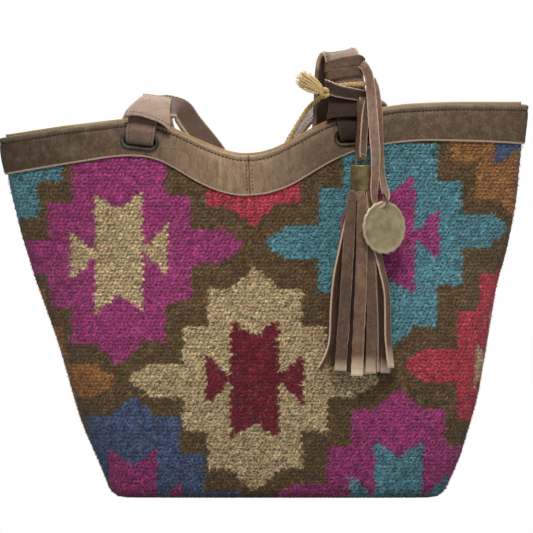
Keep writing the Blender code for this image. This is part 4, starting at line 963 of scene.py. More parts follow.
def yarn_colours(points, shares, back, rng):
    """Colour of each float, found where its middle lies in the photograph's frame."""
    rows, columns = points.shape[:2]
    r, c = np.meshgrid(np.arange(rows - 1), np.arange(columns - 1), indexing="ij")
    shift = (r // 2) % 2
    mid_c = np.clip(((c + shift) // 2) * 2 + 1 - shift, 0, columns - 1)
    mid_r = np.clip((r // 2) * 2 + 1, 0, rows - 1)
    where = points[mid_r, mid_c].copy()
    if back:
        where[..., 0] = -where[..., 0]
        where[..., 1] = 2.0 * DEPTH - where[..., 1]
    px, py = project(where)
    # Round the sides the pattern runs on at its own width.
    share = shares[mid_c]
    for start, past in (
        (STRETCHED_ENDS, share < STRETCHED_ENDS), (1.0 - STRETCHED_ENDS, share > 1.0 - STRETCHED_ENDS)
    ):
        column = min(int(round(start * (columns - 1))), columns - 2)
        beyond = (share - start) * SKIN.length(np.maximum(points[mid_r, mid_c, 2], 0.0)) / PIXEL
        px = np.where(past, px[:, column][:, None] + beyond * (-1.0 if back else 1.0), px)
    py = np.where(r < BASE_ROWS, PIXEL_Z + (BASE_ROWS - r) * THREAD * 1.1 / PIXEL, py)
    names = motif_colour(px, py)
    # Painted shade: the wool seen through each eyelet's slot is darkened.
    slot_shade = np.zeros(names.shape, bool)
    for x, z, _ in EYELETS:
        near = np.abs(where[..., (0, 2)] - (x, z)) < SLOT_SHADOW
        slot_shade |= near.all(axis=-1)
    colours = np.zeros((*names.shape, 4))
    for key, value in YARN.items():
        colours[names == key] = (*linear(value), 1.0)
    by_float = 1.0 + rng.normal(0.0, 0.16, (rows, columns))[mid_r, mid_c]
    by_row = 1.0 + rng.normal(0.0, 0.035, rows)[mid_r]
    colours[..., :3] *= (by_float * by_row)[..., None]
    colours[..., 0] *= 1.0 + rng.normal(0.0, 0.04, (rows, columns))[mid_r, mid_c]
    colours[slot_shade, :3] *= 0.12
    return np.clip(colours, 0.0, 1.0)


def kilim(name, back, material, rng):
    """A woven wall with its half of the base; every float of the weft is in the mesh."""
    columns = 2 * int(round(HALF_GIRTH / FLOAT_LENGTH)) + 1
    shares = np.linspace(0.0, 1.0, columns)
    s = 1.0 + shares if back else shares
    rim = rim_at(s) - UNDER_RIM
    points, normals = wall_grid(s, shares, rim)
    outer, across, upward = woven_face(points, normals, shares, rim, rng)
    # The inner face is coarser: every second thread.
    inner = (points - normals * (KILIM - WEAVE_SINK))[::2, ::2]
    rows, (in_rows, in_columns) = len(points), inner.shape[:2]
    quads = grid_faces(rows, columns).tolist()
    quads += grid_faces(in_rows, in_columns, rows * columns, flip=True).tolist()
    edge = wall_edge(rows, columns, in_columns)
    verts = np.concatenate((outer.reshape(-1, 3), inner.reshape(-1, 3)))
    made = piece(name, verts, quads + edge, material)
    lay_cloth_map(made.data, shares, rows)
    colours = yarn_colours(points, shares, back, rng)
    plain = np.tile(np.array((*linear(YARN["ground"]), 1.0)), (len(edge), 1))
    paint_yarn(made, (colours.reshape(-1, 4), colours[::2, ::2].reshape(-1, 4), plain))
    fuzz(name + "_fuzz", outer, normals, across, upward, colours, FUZZ_BACK if back else FUZZ_FRONT, rng)
    return made, area_of(points)


def fuzz(name, points, normals, across, upward, colours, count, rng):
    """Loose wool fibres that lie over the weave, each in the colour of the float it grows from."""
    rows, columns = points.shape[:2]
    r = rng.integers(2, rows - 2, count)
    c = rng.integers(1, columns - 1, count)
    root = points[r, c] + across[r, c] * rng.uniform(-0.001, 0.001, (count, 1))
    turn = rng.uniform(0.0, 2.0 * math.pi, (count, 1))
    way = across[r, c] * np.cos(turn) + upward[r, c] * np.sin(turn)
    way2 = across[r, c] * np.cos(turn + 0.9) + upward[r, c] * np.sin(turn + 0.9)
    out = normals[r, c]
    reach = rng.uniform(0.0020, 0.0066, (count, 1))
    lift = rng.uniform(0.0002, 0.0012, (count, 1))
    wide = rng.uniform(0.00010, 0.00024, (count, 1))
    middle = root + way * reach * 0.5 + out * lift
    tip = root + (way + way2) * reach * 0.5 + out * lift * 0.7
    for spot in (root, middle, tip):
        spot[:, 2] = np.maximum(spot[:, 2], 0.0004)
    flat = np.cross(out, way)
    ring = np.stack((
        root + flat * wide, root - flat * wide, middle + flat * wide, middle - flat * wide, tip
    ), axis=1)
    start = np.arange(count)[:, None] * 5
    quads = (start + np.array((0, 1, 3, 2))).tolist()
    tips = (start + np.array((2, 3, 4))).tolist()
    n = Nodes(name + "_fibre")
    tone = n.attribute("yarn").outputs["Color"]
    made = piece(name, ring.reshape(-1, 3), quads + tips, n.finish(tone, 1.0, specular=0.05))
    values = colours[np.minimum(r, rows - 2), np.minimum(c, columns - 2)]
    values = values * rng.uniform(0.7, 2.2, (count, 1))
    pale = (rng.uniform(0.0, 1.0, count) < 0.12)[:, None] * np.array((0.16, 0.15, 0.12, 0.0))
    opaque = np.array((0.0, 0.0, 0.0, 1.0))
    values = np.clip(values * (1.0 - opaque) + pale + opaque, 0.0, 1.0)
    paint_yarn(made, (values, values))


def band_sheet(name, start, end, material):
    """A leather band with its rolled top edge and its cut lower edge."""
    columns = int((end - start) * BAND_COLUMNS)
    shares = np.linspace(start, end, columns)
    foot, rim = foot_at(shares), rim_at(shares)
    off = LAYER_GAP + BAND
    profile = [(0.0, 0.0, LAYER_GAP + 0.0002), (0.0, -0.0002, off * 0.75), (0.0, 0.0009, off - 0.0003)]
    profile += [(share, 0.0, off) for share in (0.06, 0.12, 0.2, 0.3, 0.4, 0.5, 0.6, 0.7, 0.8)]
    profile += [
        (1.0, -0.0062, off), (1.0, -0.0052, off - 0.0006), (1.0, -0.0042, off + 0.0001),
        (1.0, -0.0026, off + 0.0007), (1.0, -0.0008, off + 0.0002), (1.0, 0.0001, off * 0.5),
        (1.0, 0.0003, -0.0010), (1.0, -0.0003, -KILIM), (1.0, -0.0022, -KILIM), (1.0, -0.0024, LAYER_GAP),
    ]
    rng = np.random.default_rng(4)
    ripple = np.convolve(rng.normal(0.0, 1.0, columns), np.hanning(9), "same") * 0.00005
    rows = []
    for share, rise, out in profile:
        z = foot + (rim - foot) * share + rise
        bulge = 0.0006 * math.sin(math.pi * share)
        wave = 0.0005 * math.sin(math.pi * share) * np.sin(shares * 61.0 + 3.0 * share)
        loose = wave + ripple if out > 0.001 else 0.0
        rows.append(SKIN.at(shares, z, np.full(columns, out + bulge) + loose))
    points = np.array(rows)
    count = len(profile)
    verts = points.reshape(-1, 3)
    faces = grid_faces(count, columns).tolist()
    last = (count - 1) * columns
    faces += [[last + i, last + i + 1, i + 1, i] for i in range(columns - 1)]
    faces.append([r * columns for r in range(count)][::-1])
    faces.append([r * columns + columns - 1 for r in range(count)])
    made = piece(name, verts, faces, material)
    # The cut foot is worn, and so is the roll a little.
    worn = [1.0] * 3 + [0.0] * 11 + [0.05, 0.12, 0.1, 0.05] + [0.0] * 4
    paint(made, "edge", np.repeat(worn, columns))
    return made


def stitch_mesh(points, ways, outs, length, thick):
    """Small rounded stitches laid along a line of places."""
    rings = ((-0.5, 0.35), (-0.32, 0.85), (0.0, 1.0), (0.32, 0.85), (0.5, 0.35))
    verts, faces = [], []
    for place, way, out in zip(points, ways, outs):
        side = np.cross(out, way)
        start = len(verts)
        for along, size in rings:
            sink = (1.0 - size) * thick * 0.8
            for k in range(6):
                angle = math.pi * k / 3.0
                verts.append(
                    place + way * (along * length) + side * (math.cos(angle) * thick * size * 0.5)
                    + out * (math.sin(angle) * thick * size * 0.5 - sink)
                )
        faces += tube_faces(len(rings), 6, start)
    return verts, faces


def stitches_on_skin(shares, z, off):
    """Stitch frames along a line on the skin, evenly spaced."""
    line = SKIN.at(shares, z, np.full(np.shape(shares), off))
    gone = gone_along(line)
    at = np.arange(STITCH_PITCH, gone[-1] - STITCH_PITCH, STITCH_PITCH)
    s, h = np.interp(at, gone, shares), np.interp(at, gone, z)
    places = SKIN.at(s, h, np.full(len(s), off))
    return places, ways_along(places), SKIN.normal(s, h)


def add_stitches(name, sets, material, length, thick):
    verts, faces = [], []
    for places, ways, outs in sets:
        v, f = stitch_mesh(places, ways, outs, length, thick)
        start = len(verts)
        verts += v
        faces += [tuple(i + start for i in face) for face in f]
    piece(name, verts, faces, material)


def smooth_keys(keys, steps):
    """Keys of plain numbers, smoothed into rows by a curve through all of them."""
    rows = np.array([np.hstack([np.ravel(np.array(value, float)) for value in key]) for key in keys])
    padded = np.vstack((2.0 * rows[0] - rows[1], rows, 2.0 * rows[-1] - rows[-2]))
    made = []
    for i in range(len(rows) - 1):
        a, b, c, d = padded[i:i + 4]
        for t in np.linspace(0.0, 1.0, steps, endpoint=False):
            made.append(0.5 * (
                2.0 * b + (c - a) * t + (2.0 * a - 5.0 * b + 4.0 * c - d) * t ** 2
                + (3.0 * b - a - 3.0 * c + d) * t ** 3
            ))
    made.append(rows[-1])
    return np.array(made)


def section(sharp, around):
    """A rounded rectangle's outline, half a unit each way; sharp is its squareness."""
    turn = np.linspace(0.0, 2.0 * math.pi, around, endpoint=False) + math.pi / around
    u = np.sign(np.cos(turn)) * np.abs(np.cos(turn)) ** (2.0 / sharp) * 0.5
    v = np.sign(np.sin(turn)) * np.abs(np.sin(turn)) ** (2.0 / sharp) * 0.5
    return u, v


def frames_of(rows):
    """Place, way, width direction and depth direction at every row of a swept strip."""
    places = rows[:, 0:3]
    ways = ways_along(places)
    wide = unit(rows[:, 3:6] - ways * np.sum(rows[:, 3:6] * ways, axis=1, keepdims=True))
    return places, ways, wide, np.cross(wide, ways)


def edge_marks(u, count, worn, under, fine):
    """How worn each row of a strip is along its two edges; a row all in shade is worn less."""
    start, span = (0.46, 0.03) if fine else (0.40, 0.08)
    sided = np.where(u < 0.0, 0.35, 1.0) if fine else 1.0
    shaded = np.abs(np.ones(count) * (0.0 if under is None else under)) > 1.5
    line = np.clip((np.abs(u) - start) / span, 0.0, 1.0) * worn * sided
    return [line * (0.25 if low else 1.0) for low in shaded]


def paint_strip(made, u, v, count, extra, under, shade, foot):
    """Marks of a strip's raw underside, darkened partly as painted shade, of its painted shade and of its
    pale foot; extra rows lie inside it and are darkened as painted shade.
    """
    around = len(u)
    if under is not None:
        # The underside is darkened as raw leather partly in painted shade; a row marked beyond 1.5 is
        # painted dark all round, as shade.
        sides = np.array(under).reshape(-1, 1) * np.ones((count, 1))
        dark = np.clip(np.sign(v)[None] * sides, 0.0, 1.0) * (np.abs(u) < 0.46)[None]
        dark = np.maximum(dark, (np.abs(sides) > 1.5) * 0.8)
        paint(made, "under", np.concatenate((np.ones((extra, around)), dark)))
    elif extra:
        paint(made, "under", np.concatenate((np.ones((extra, around)), np.zeros((count, around)))))
    if shade is not None:
        paint(made, "shade", np.repeat(np.concatenate((np.zeros(extra), np.ones(count) * shade)), around))
    if foot:
        line = np.zeros(count + extra)
        line[-foot:] = np.linspace(0.15, 1.0, foot) * (1.0 if foot > 7 else 0.72)
        paint(made, "foot", np.repeat(line, around))


def sweep(
    name, rows, material, sharp=5.0, around=20, body="bag", worn=1.0, rough=0.0, seed=1, hollow=0.0, bow=0.0,
    under=None, foot=0, shade=None, fine=False,
):
    """A strap or lace swept along its rows: place, width direction, width and thickness."""
    rng = np.random.default_rng(seed)
    places, ways, wide, deep = frames_of(rows)
    u, v = section(sharp, around)
    count = len(rows)
    grown = np.ones((count, 1)) + rng.normal(0.0, rough, (count, 1))
    ragged = 1.0 + rng.normal(0.0, rough, (count, around)) * (np.abs(u) > 0.42)
    points = (
        places[:, None] + wide[:, None] * (u * rows[:, 6:7] * ragged * grown)[..., None]
        + deep[:, None] * (v * rows[:, 7:8] * ragged)[..., None]
    )
    bowed = np.exp(-np.arange(count) / BOW_FADE)[:, None] * (1.0 - np.abs(2.0 * u) ** 2.6)[None]
    points = points + bow * bowed[..., None] * ways[:, None]
    rings = list(points)
    marks = edge_marks(u, count, worn, under, fine)
    if hollow:
        # An open lower end: the edge turns in and the cavity runs up inside.
        middle = points[0].mean(axis=0)
        lip = middle + (points[0] - middle) * 0.86 + ways[0] * 0.0006
        cavity = middle + (points[0] - middle) * 0.58 + ways[0] * hollow
        rings = [cavity, lip] + rings
        marks = [np.zeros(around), np.full(around, worn), np.full(around, worn)] + marks[1:]
    made = piece(name, np.concatenate(rings), tube_faces(len(rings), around), material, body=body)
    mesh = made.data
    if sum(p.normal.dot(p.center - Vector(places[count // 2])) for p in mesh.polygons[:4]) < 0:
        mesh.flip_normals()
    mesh.polygons.foreach_set("use_smooth", [len(p.vertices) == 4 for p in mesh.polygons])
    paint(made, "edge", np.concatenate(marks))
    paint_strip(made, u, v, count, len(rings) - count, under, shade, foot)
    return made


def strip_stitches(rows, share, side, start=0.004, end=0.004, pitch=STITCH_PITCH):
    """Stitch places along a swept strip: share of its half width, on its outer or inner face."""
    places, ways, wide, deep = frames_of(rows)
    line = places + wide * (rows[:, 6:7] * 0.5 * share) + deep * (rows[:, 7:8] * 0.5 * side * 0.97)
    gone = gone_along(line)
    at = np.arange(start, gone[-1] - end, pitch)
    return [
        np.stack([np.interp(at, gone, values[:, i]) for i in range(3)], axis=1)
        for values in (line, ways, deep * side)
    ]


def cross_stitches(rows, index, side, count):
    """A row of stitches across a swept strip, at one of its rows."""
    places, _, wide, deep = frames_of(rows)
    share = np.linspace(-STITCH_REACH, STITCH_REACH, count)
    across = share * rows[index, 6] * 0.5
    crown = (1.0 - np.abs(share) ** 5.0) ** 0.2
    rise = rows[index, 7] * 0.5 * side * crown * 0.99
    line = places[index] + wide[index] * across[:, None] + deep[index] * rise[:, None]
    return line, np.tile(wide[index], (count, 1)), np.tile(deep[index] * side, (count, 1))


def eyelet_frame(x, z, roll, back):
    """The frame of an eyelet on the skin: along the slot, up and outwards."""
    share = share_at(x, z, back)
    centre = Vector(SKIN.point(share, z))
    out = Vector(SKIN.normal(share, z))
    up = Vector((0.0, 0.0, 1.0))
    up = (up - out * up.dot(out)).normalized()
    right = up.cross(out)
    roll = -roll if back else roll
    right, up = right * math.cos(roll) + up * math.sin(roll), up * math.cos(roll) - right * math.sin(roll)
    made = Matrix((right, up, out)).transposed().to_4x4()
    made.translation = centre
    return made


def handle_tab(name, where, lean, edge, back, material, thread):
    """The tab that joins a handle to its eyelet: down the front, through, and up inside."""
    frame_here = eyelet_frame(*where, back)
    lean = -lean if back else lean
    half = TAB / 2.0
    out = LAYER_GAP + BAND + GAP + EYELET_PROUD
    face = out + half
    inner = -(KILIM + LAYER_GAP + LINING + GAP + WASHER) - half
    reach = edge + TAB_IN_SLEEVE
    near = reach - 0.0055
    narrow, narrower = TAB_WIDTH * 0.84, TAB_WIDTH * 0.66
    # Height, depth and width down the front, through the eyelet and up inside.
    bend = (
        (reach, 0.0018, narrower), (near, 0.0026, narrow), (edge, out * 0.72, TAB_WIDTH),
        (edge * 0.62, out * 1.1, TAB_WIDTH), (0.0105, face + GAP * 6, TAB_WIDTH),
        (0.0050, face + GAP * 4, TAB_WIDTH), (0.0002, out + GAP, TAB_WAIST),
        (-0.0024, 0.0016, TAB_WAIST), (-0.0028, -0.0030, TAB_WAIST), (-0.0006, inner, TAB_WAIST),
        (0.0048, inner - 0.0014, TAB_WAIST), (0.0105, inner - 0.0012, TAB_WIDTH),
        (edge * 0.70, inner - 0.0006, TAB_WIDTH), (edge, inner + half * 0.2, TAB_WIDTH),
        (near, -0.0036, narrow), (reach, -0.0022, narrower),
    )
    wide = frame_here.to_3x3() @ Vector((1.0, -math.tan(lean), 0.0))
    keys = [
        (tuple(frame_here @ Vector((up * math.tan(lean), up, depth))), tuple(wide), width, TAB)
        for up, depth, width in bend
    ]
    rows = smooth_keys(keys, 5)
    made = sweep(name, rows, material, 8.0, 20, worn=0.45, rough=0.004)
    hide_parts(name.replace("stitched_", "handle_"))
    front = rows[4:34]
    outwards = np.array(frame_here.to_3x3() @ Vector((0.0, 0.0, 1.0)))
    side = 1.0 if frames_of(front)[3][8].dot(outwards) > 0 else -1.0
    sets = [strip_stitches(front, share, side, 0.002, 0.002, 0.0030) for share in (-0.80, 0.80)]
    add_stitches(name + "_thread", sets, thread, 0.0019, 0.0008)


def sleeve(name, node, keys, material, bow):
    """A sleeve sewn over a handle's end, and the two rows of stitches across it."""
    rows = smooth_keys(keys, 6)
    if (frames_of(rows)[3][2][1] > 0.0) != (keys[0][0][1] > DEPTH):
        rows[:, 3:6] *= -1.0
    made = sweep(name, rows, material, 4.5, 36, worn=0.55, rough=0.002, hollow=0.010, bow=bow)
    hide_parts(node)
    sets = []
    for index, count in ((4, 13), (len(rows) - 14, 9)):
        line, ways, outs = cross_stitches(rows, index, 1.0, count)
        share = np.linspace(-STITCH_REACH, STITCH_REACH, count)[:, None]
        lift = frames_of(rows)[1][index] * bow * math.exp(-index / BOW_FADE) * (1.0 - np.abs(share) ** 2.6)
        sets.append((line + lift, ways, outs))
    return sets


def handle(name, node, path, sleeves, material, thread):
    """A whole handle: the strap, and the sleeve sewn over each of its ends."""
    rows = smooth_keys(path, 7)
    count = np.arange(len(rows))
    turn = int(np.argmin(rows[:, 2]))
    under = np.where(count < turn, -1.0, 1.0)
    if node == "handle_front":
        # The leg behind the wound lace shows its raw side and lies in shade.
        leg = (count > turn) & (rows[:, 2] < LEG_TOP) & (rows[:, 0] < LEG_RIGHT)
        under = under * np.where(leg, 2.0, 1.0)
    shade = np.where(count < turn, 0.0, 0.28)
    strap = sweep(name, rows, material, 6.0, 24, worn=0.75, rough=0.002, under=under, shade=shade)
    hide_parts(node)
    sets = []
    for label, keys, hide, bow in sleeves:
        sets += sleeve(f"{name}_sleeve_{label}", node, keys, hide, bow)
    for side in (-1.0, 1.0):
        for share in (-0.84, 0.84):
            sets.append(strip_stitches(rows, share, side, 0.012, 0.012))
    add_stitches(name + "_thread", sets, thread, 0.0022, 0.0007)


def pixel_keys(table):
    """Keys written as pixels of the photograph with a depth, as world keys."""
    return [(tuple(place(px, py, y)), wide, width, thick) for px, py, y, wide, width, thick in table]


def shifted(table):
    """Keys written before DEPTH, as world keys."""
    return [((x, y + DEPTH, z), wide, width, thick) for (x, y, z), wide, width, thick in table]


def twisted_cord(name, route, radius, strands, turns_per_metre, material):
    """Strands laid round each other along a route, made as one mesh."""
    places = smooth_keys([(point,) for point in route], 8)[:, 0:3]
    ways = ways_along(places)
    side = unit(np.cross(ways, np.array((0.0, -1.0, 0.2))))
    rise = np.cross(side, ways)
    gone = gone_along(places)
    verts, faces = [], []
    for strand in range(strands):
        turn = 2.0 * math.pi * (gone * turns_per_metre + strand / strands)
        thick = radius * 0.47
        off = side * np.cos(turn)[:, None] + rise * np.sin(turn)[:, None] * 0.8
        centre = places + off * (radius - thick)
        faces += tube_faces(len(centre), 6, len(verts))
        for i in range(len(centre)):
            for k in range(6):
                angle = math.pi * k / 3.0
                verts.append(centre[i] + (side[i] * math.cos(angle) + rise[i] * math.sin(angle)) * thick)
    return piece(name, verts, faces, material), places, gone[-1]


def cut_slot(made, frame_here, long, high):
    """Cuts an oval slot through a piece."""
    outline = []
    half, radius = long / 2.0 - high / 2.0, high / 2.0
    for centre, start in ((half, -90.0), (-half, 90.0)):
        for step in range(9):
            angle = math.radians(start + 180.0 * step / 8)
            outline.append((centre + radius * math.cos(angle), radius * math.sin(angle)))
    verts = [frame_here @ Vector((x, y, depth)) for depth in (-CUT_DEPTH, CUT_DEPTH) for x, y in outline]
    mesh = bpy.data.meshes.new("slot")
    mesh.from_pydata([tuple(v) for v in verts], [], tube_faces(2, len(outline)))
    cutter = bpy.data.objects.new("slot", mesh)
    bpy.context.scene.collection.objects.link(cutter)
    bpy.ops.object.select_all(action="DESELECT")
    bpy.context.view_layer.objects.active = made
    made.select_set(True)
    change = made.modifiers.new("slot", "BOOLEAN")
    change.operation = "DIFFERENCE"
    change.solver = "EXACT"
    change.object = cutter
    bpy.ops.object.modifier_apply(modifier=change.name)
    bpy.data.objects.remove(cutter, do_unlink=True)


def lining_sheet(material):
    """The cotton lining: one slack bag of cloth inside the wool, its raw edge above the rim."""
    columns = 360
    shares = np.linspace(0.0, 2.0, columns, endpoint=False)
    rim = rim_at(shares)
    levels = np.concatenate((np.linspace(0.0, 0.97, 60), (0.985, 0.995, 1.0)))
    outer, inner = [], []
    for level in levels:
        z = LINING_FOOT + (rim + LINING_EDGE - LINING_FOOT) * level
        near = np.clip(1.0 - level * 8.0, 0.0, 1.0) ** 2 * 0.008
        slack = math.sin(math.pi * min(1.0, level * 1.02)) ** 0.7
        fold = 0.0016 * slack * (
            1.0 + np.sin(shares * 23.0 * math.pi + 2.5 * np.sin(level * 6.0)) * 0.6
            + np.sin(shares * 9.0 * math.pi + level * 5.0) * 0.4
        )
        ease = np.clip((level - 0.80) / 0.12, 0.0, 1.0)
        off = -(KILIM + 0.0009 + near + fold * (1.0 - ease))
        outer.append(SKIN.at(shares, z, off))
        inner.append(SKIN.at(shares, z, off - LINING))
    rows = np.array(outer + inner[::-1])
    count = len(rows)
    verts = rows.reshape(-1, 3).tolist()
    faces = ring_faces(count, columns)
    # Both ends are closed by flat floors in rings.
    for r, lift in ((0, -0.0006), (count - 1, 0.0)):
        centre = rows[r].mean(axis=0)
        lifted = np.array((0.0, 0.0, lift))
        ring = list(range(r * columns, (r + 1) * columns))
        for share in (0.66, 0.33):
            start = len(verts)
            verts += (rows[r] * share + centre * (1.0 - share) + lifted).tolist()
            spare = list(range(start, start + columns))
            for k in range(columns):
                nxt = (k + 1) % columns
                quad = (ring[nxt], ring[k], spare[k], spare[nxt])
                faces.append(quad if r == 0 else quad[::-1])
            ring = spare
        verts.append((centre + lifted).tolist())
        for k in range(columns):
            tri = (ring[(k + 1) % columns], ring[k], len(verts) - 1)
            faces.append(tri if r == 0 else tri[::-1])
    made = piece("cotton_lining", verts, faces, material)
    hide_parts("lining")
    return made


def tassel_strips(material):
    """The fringe: cut strips that hang from inside the cap."""
    for index, (line, widths, turn, y) in enumerate(FRINGE):
        angle = math.radians(turn)
        wide = (math.cos(angle), math.sin(angle), 0.0)
        keys = [
            (tuple(place(px, py, y + sway)), wide, width, FRINGE_THICKNESS)
            for (px, py, sway), width in zip(line, widths)
        ]
        rows = smooth_keys(keys, 10)
        made = sweep(
            f"fringe_strip_{index}", rows, material, 9.0, 20, "tassel", 1.0, 0.022, 30 + index,
            foot=FOOT_ROWS[index], shade=FRINGE_SHADES[index], fine=index not in (0, 4),
        )
        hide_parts("tassel_fringe")


def head_of_tassel(material):
    """The rolled leather head that the cap grips."""
    centre = place(*TASSEL_AT, TASSEL_Y)
    verts = []
    around = 40
    profile = ((0.0076, 0.008), (0.0080, 0.0), (0.0084, -0.004), (0.0078, -0.009), (0.0060, -0.013))
    for radius, z in profile:
        for k in range(around):
            angle = 2.0 * math.pi * k / around
            reach = radius * (1.0 + 0.07 * math.cos(angle * 9.0))
            x, y = centre.x + reach * math.cos(angle), centre.y + reach * math.sin(angle)
            verts.append((x, y, centre.z + z))
    last = (len(profile) - 1) * around
    faces = [(b, a, d, c) for a, b, c, d in ring_faces(len(profile), around)]
    faces += [tuple(range(around)), tuple(range(last, last + around))[::-1]]
    made = piece("tassel_head", verts, faces, material, body="tassel")
    paint(made, "edge", np.full(len(verts), 0.2))
    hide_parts("tassel_fringe")


def scalloped_medallion(material, rng):
    """The medallion: a beaten disc in a raised, unevenly scalloped rim, with its ring's hole."""
    yaw, half = MEDALLION_YAW, MEDALLION_THICKNESS / 2.0
    side = np.array((math.cos(yaw), math.sin(yaw), 0.0))
    out = np.array((math.sin(yaw), -math.cos(yaw), 0.0))
    centre = np.array((MEDALLION_AT[0], MEDALLION_AT[1] + DEPTH, MEDALLION_AT[2]))
    around = 180
    turn = np.linspace(0.0, 2.0 * math.pi, around, endpoint=False)
    uneven = np.append(rng.uniform(0.5, 1.3, SCALLOPS), 1.0)
    uneven = np.interp(turn * SCALLOPS / (2.0 * math.pi), np.arange(SCALLOPS + 1), uneven)
    scallop = (np.abs(np.cos(turn * SCALLOPS / 2.0 + 0.4)) ** 0.7 - 1.0) * uneven
    sunk = half - 0.0008
    # Radius, depth, share of the scallops and painted highlight of each ring, from the front's middle to the
    # rear's.
    profile = (
        (0.0, sunk, 0.0, 0.0), (0.006, sunk, 0.0, 0.0), (0.012, sunk, 0.0, 0.0), (0.018, sunk, 0.1, 0.0),
        (0.0218, half - 0.0007, 0.6, 0.0), (0.0227, half, 0.8, 0.6), (0.0238, half, 0.9, 1.0),
        (0.0247, half - 0.0009, 1.0, 1.0), (0.0249, 0.0, 1.0, 0.6), (0.0244, -half, 1.0, 0.3),
        (0.012, -half, 0.0, 0.0), (0.0, -half, 0.0, 0.0),
    )
    rings = []
    for radius, depth, wave, _ in profile:
        reach = max(radius, 1e-5) + wave * 0.0013 * scallop
        dent = rng.normal(0.0, 0.00006, around) if 0.004 < radius < 0.023 and depth > 0.0 else 0.0
        lift = np.ones(around) * depth + dent
        ring = centre + side * (np.cos(turn) * reach)[:, None] + out * lift[:, None]
        ring[:, 2] += np.sin(turn) * reach
        rings.append(ring)
    last = (len(rings) - 1) * around
    faces = [(a, d, c, b) for a, b, c, d in ring_faces(len(rings), around)]
    faces += [tuple(range(around)), tuple(range(last, last + around))[::-1]]
    made = piece("scalloped_medallion", np.concatenate(rings), faces, material, body="charm")
    # The raised rim is lightened as a painted highlight.
    paint(made, "edge", np.repeat([row[3] for row in profile], around))
    here = Matrix((Vector(side), Vector((0.0, 0.0, 1.0)), Vector(out))).transposed().to_4x4()
    here.translation = Vector(centre) + Vector((0.0, 0.0, MEDALLION_HOLE_UP))
    cut_slot(made, here, 2.0 * MEDALLION_HOLE + 0.0002, 2.0 * MEDALLION_HOLE)
    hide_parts("medallion")


def frayed_brush(material, rng):
    """The cord's end beyond its knot: the plies opened into a brush."""
    root, tip = Vector(BRUSH_ROOT), Vector(BRUSH_TIP)
    root.y += DEPTH
    tip.y += DEPTH
    axis = (tip - root).normalized()
    side = Vector((0.0, -1.0, 0.0))
    across = axis.cross(side).normalized()
    verts, faces = [], []
    for _ in range(BRUSH_FIBRES):
        spread = rng.uniform(-1.0, 1.0)
        deep = rng.normal(0.0, 0.4)
        reach = rng.uniform(0.80, 1.12) * (1.0 - 0.16 * spread * spread)
        bend = rng.normal(0.0, 0.0010)
        thick = rng.uniform(0.00022, 0.00042)
        rings = []
        for t in (0.0, 0.25, 0.5, 0.75, 1.0):
            out = (0.28 + 0.72 * t ** 0.9) * BRUSH_SPREAD * (0.32 if t == 0 else 1.0) * spread
            centre = root + axis * ((tip - root).length * reach * t)
            centre += across * (out + bend * math.sin(t * 3.0)) + side * (deep * 0.0022 * (0.4 + t))
            size = thick * (1.0 if t < 1.0 else 0.45)
            rings.append([
                tuple(centre + across * (size * math.cos(a)) + side * (size * math.sin(a)))
                for a in (0.0, 2.1, 4.2)
            ])
        faces += tube_faces(len(rings), 3, len(verts))
        verts += [point for ring in rings for point in ring]
    made = piece("frayed_brush", verts, faces, material)
    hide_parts("cord_knot_brush")
    return made


def knot(material):
    """The knot: the cord taken once round itself and pulled tight."""
    centre = Vector(BRUSH_ROOT) + Vector((0.0005, DEPTH + 0.0004, -0.0006))
    route = []
    for step in range(30):
        t = 2.0 * math.pi * step / 13.0
        route.append((
            centre.x + 0.0030 * math.cos(t) * (1.0 + 0.12 * math.sin(t * 0.5)),
            centre.y - 0.0017 * math.sin(t) * math.cos(t * 0.5) + 0.0004 * math.cos(3.0 * t),
            centre.z + 0.0030 * math.sin(t) + 0.0007 * math.cos(t * 1.5),
        ))
    made, _, _ = twisted_cord("cord_knot", route, 0.0021, 3, 150.0, material)
    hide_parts("cord_knot_brush")
    return made


def white_to_camera(tree, shader, white, target):
    """Shows plain white to the camera where light meets the shader."""
    path = tree.nodes.new("ShaderNodeLightPath")
    mixer = tree.nodes.new("ShaderNodeMixShader")
    tree.links.new(path.outputs["Is Camera Ray"], mixer.inputs[0])
    tree.links.new(shader.outputs[0], mixer.inputs[1])
    tree.links.new(white.outputs[0], mixer.inputs[2])
    tree.links.new(mixer.outputs[0], target.inputs["Surface"])


def build_floor():
    n = Nodes("floor")
    n.finish((0.50, 0.50, 0.50), 0.9, specular=0.1)
    glow = n.tree.nodes.new("ShaderNodeEmission")
    glow.inputs["Color"].default_value = (1.0, 1.0, 1.0, 1.0)
    glow.inputs["Strength"].default_value = 1.0
    white_to_camera(n.tree, n.shader, glow, n.tree.nodes["Material Output"])
    bpy.ops.mesh.primitive_plane_add(size=6.0, location=(0.0, 0.0, -0.0012))
    floor = bpy.context.object
    floor.name = "floor"
    floor.data.materials.append(n.material)


def build_studio():
    world = bpy.data.worlds.new("studio")
    bpy.context.scene.world = world
    world.use_nodes = True
    tree = world.node_tree
    back = tree.nodes["Background"]
    back.inputs["Color"].default_value = (0.95, 0.97, 1.0, 1.0)
    back.inputs["Strength"].default_value = 0.20
    white = tree.nodes.new("ShaderNodeBackground")
    white.inputs["Color"].default_value = (1.0, 1.0, 1.0, 1.0)
    white_to_camera(tree, back, white, tree.nodes["World Output"])
    for name, spot, size, power, tint in LAMPS:
        data = bpy.data.lights.new(name, "AREA")
        data.size = size
        data.energy = power
        data.color = tint
        lamp = bpy.data.objects.new(name, data)
        bpy.context.scene.collection.objects.link(lamp)
        lamp.location = spot
        aim = Vector((0.0, 0.0, 0.2)) - Vector(spot)
        lamp.rotation_euler = aim.to_track_quat("-Z", "Y").to_euler()


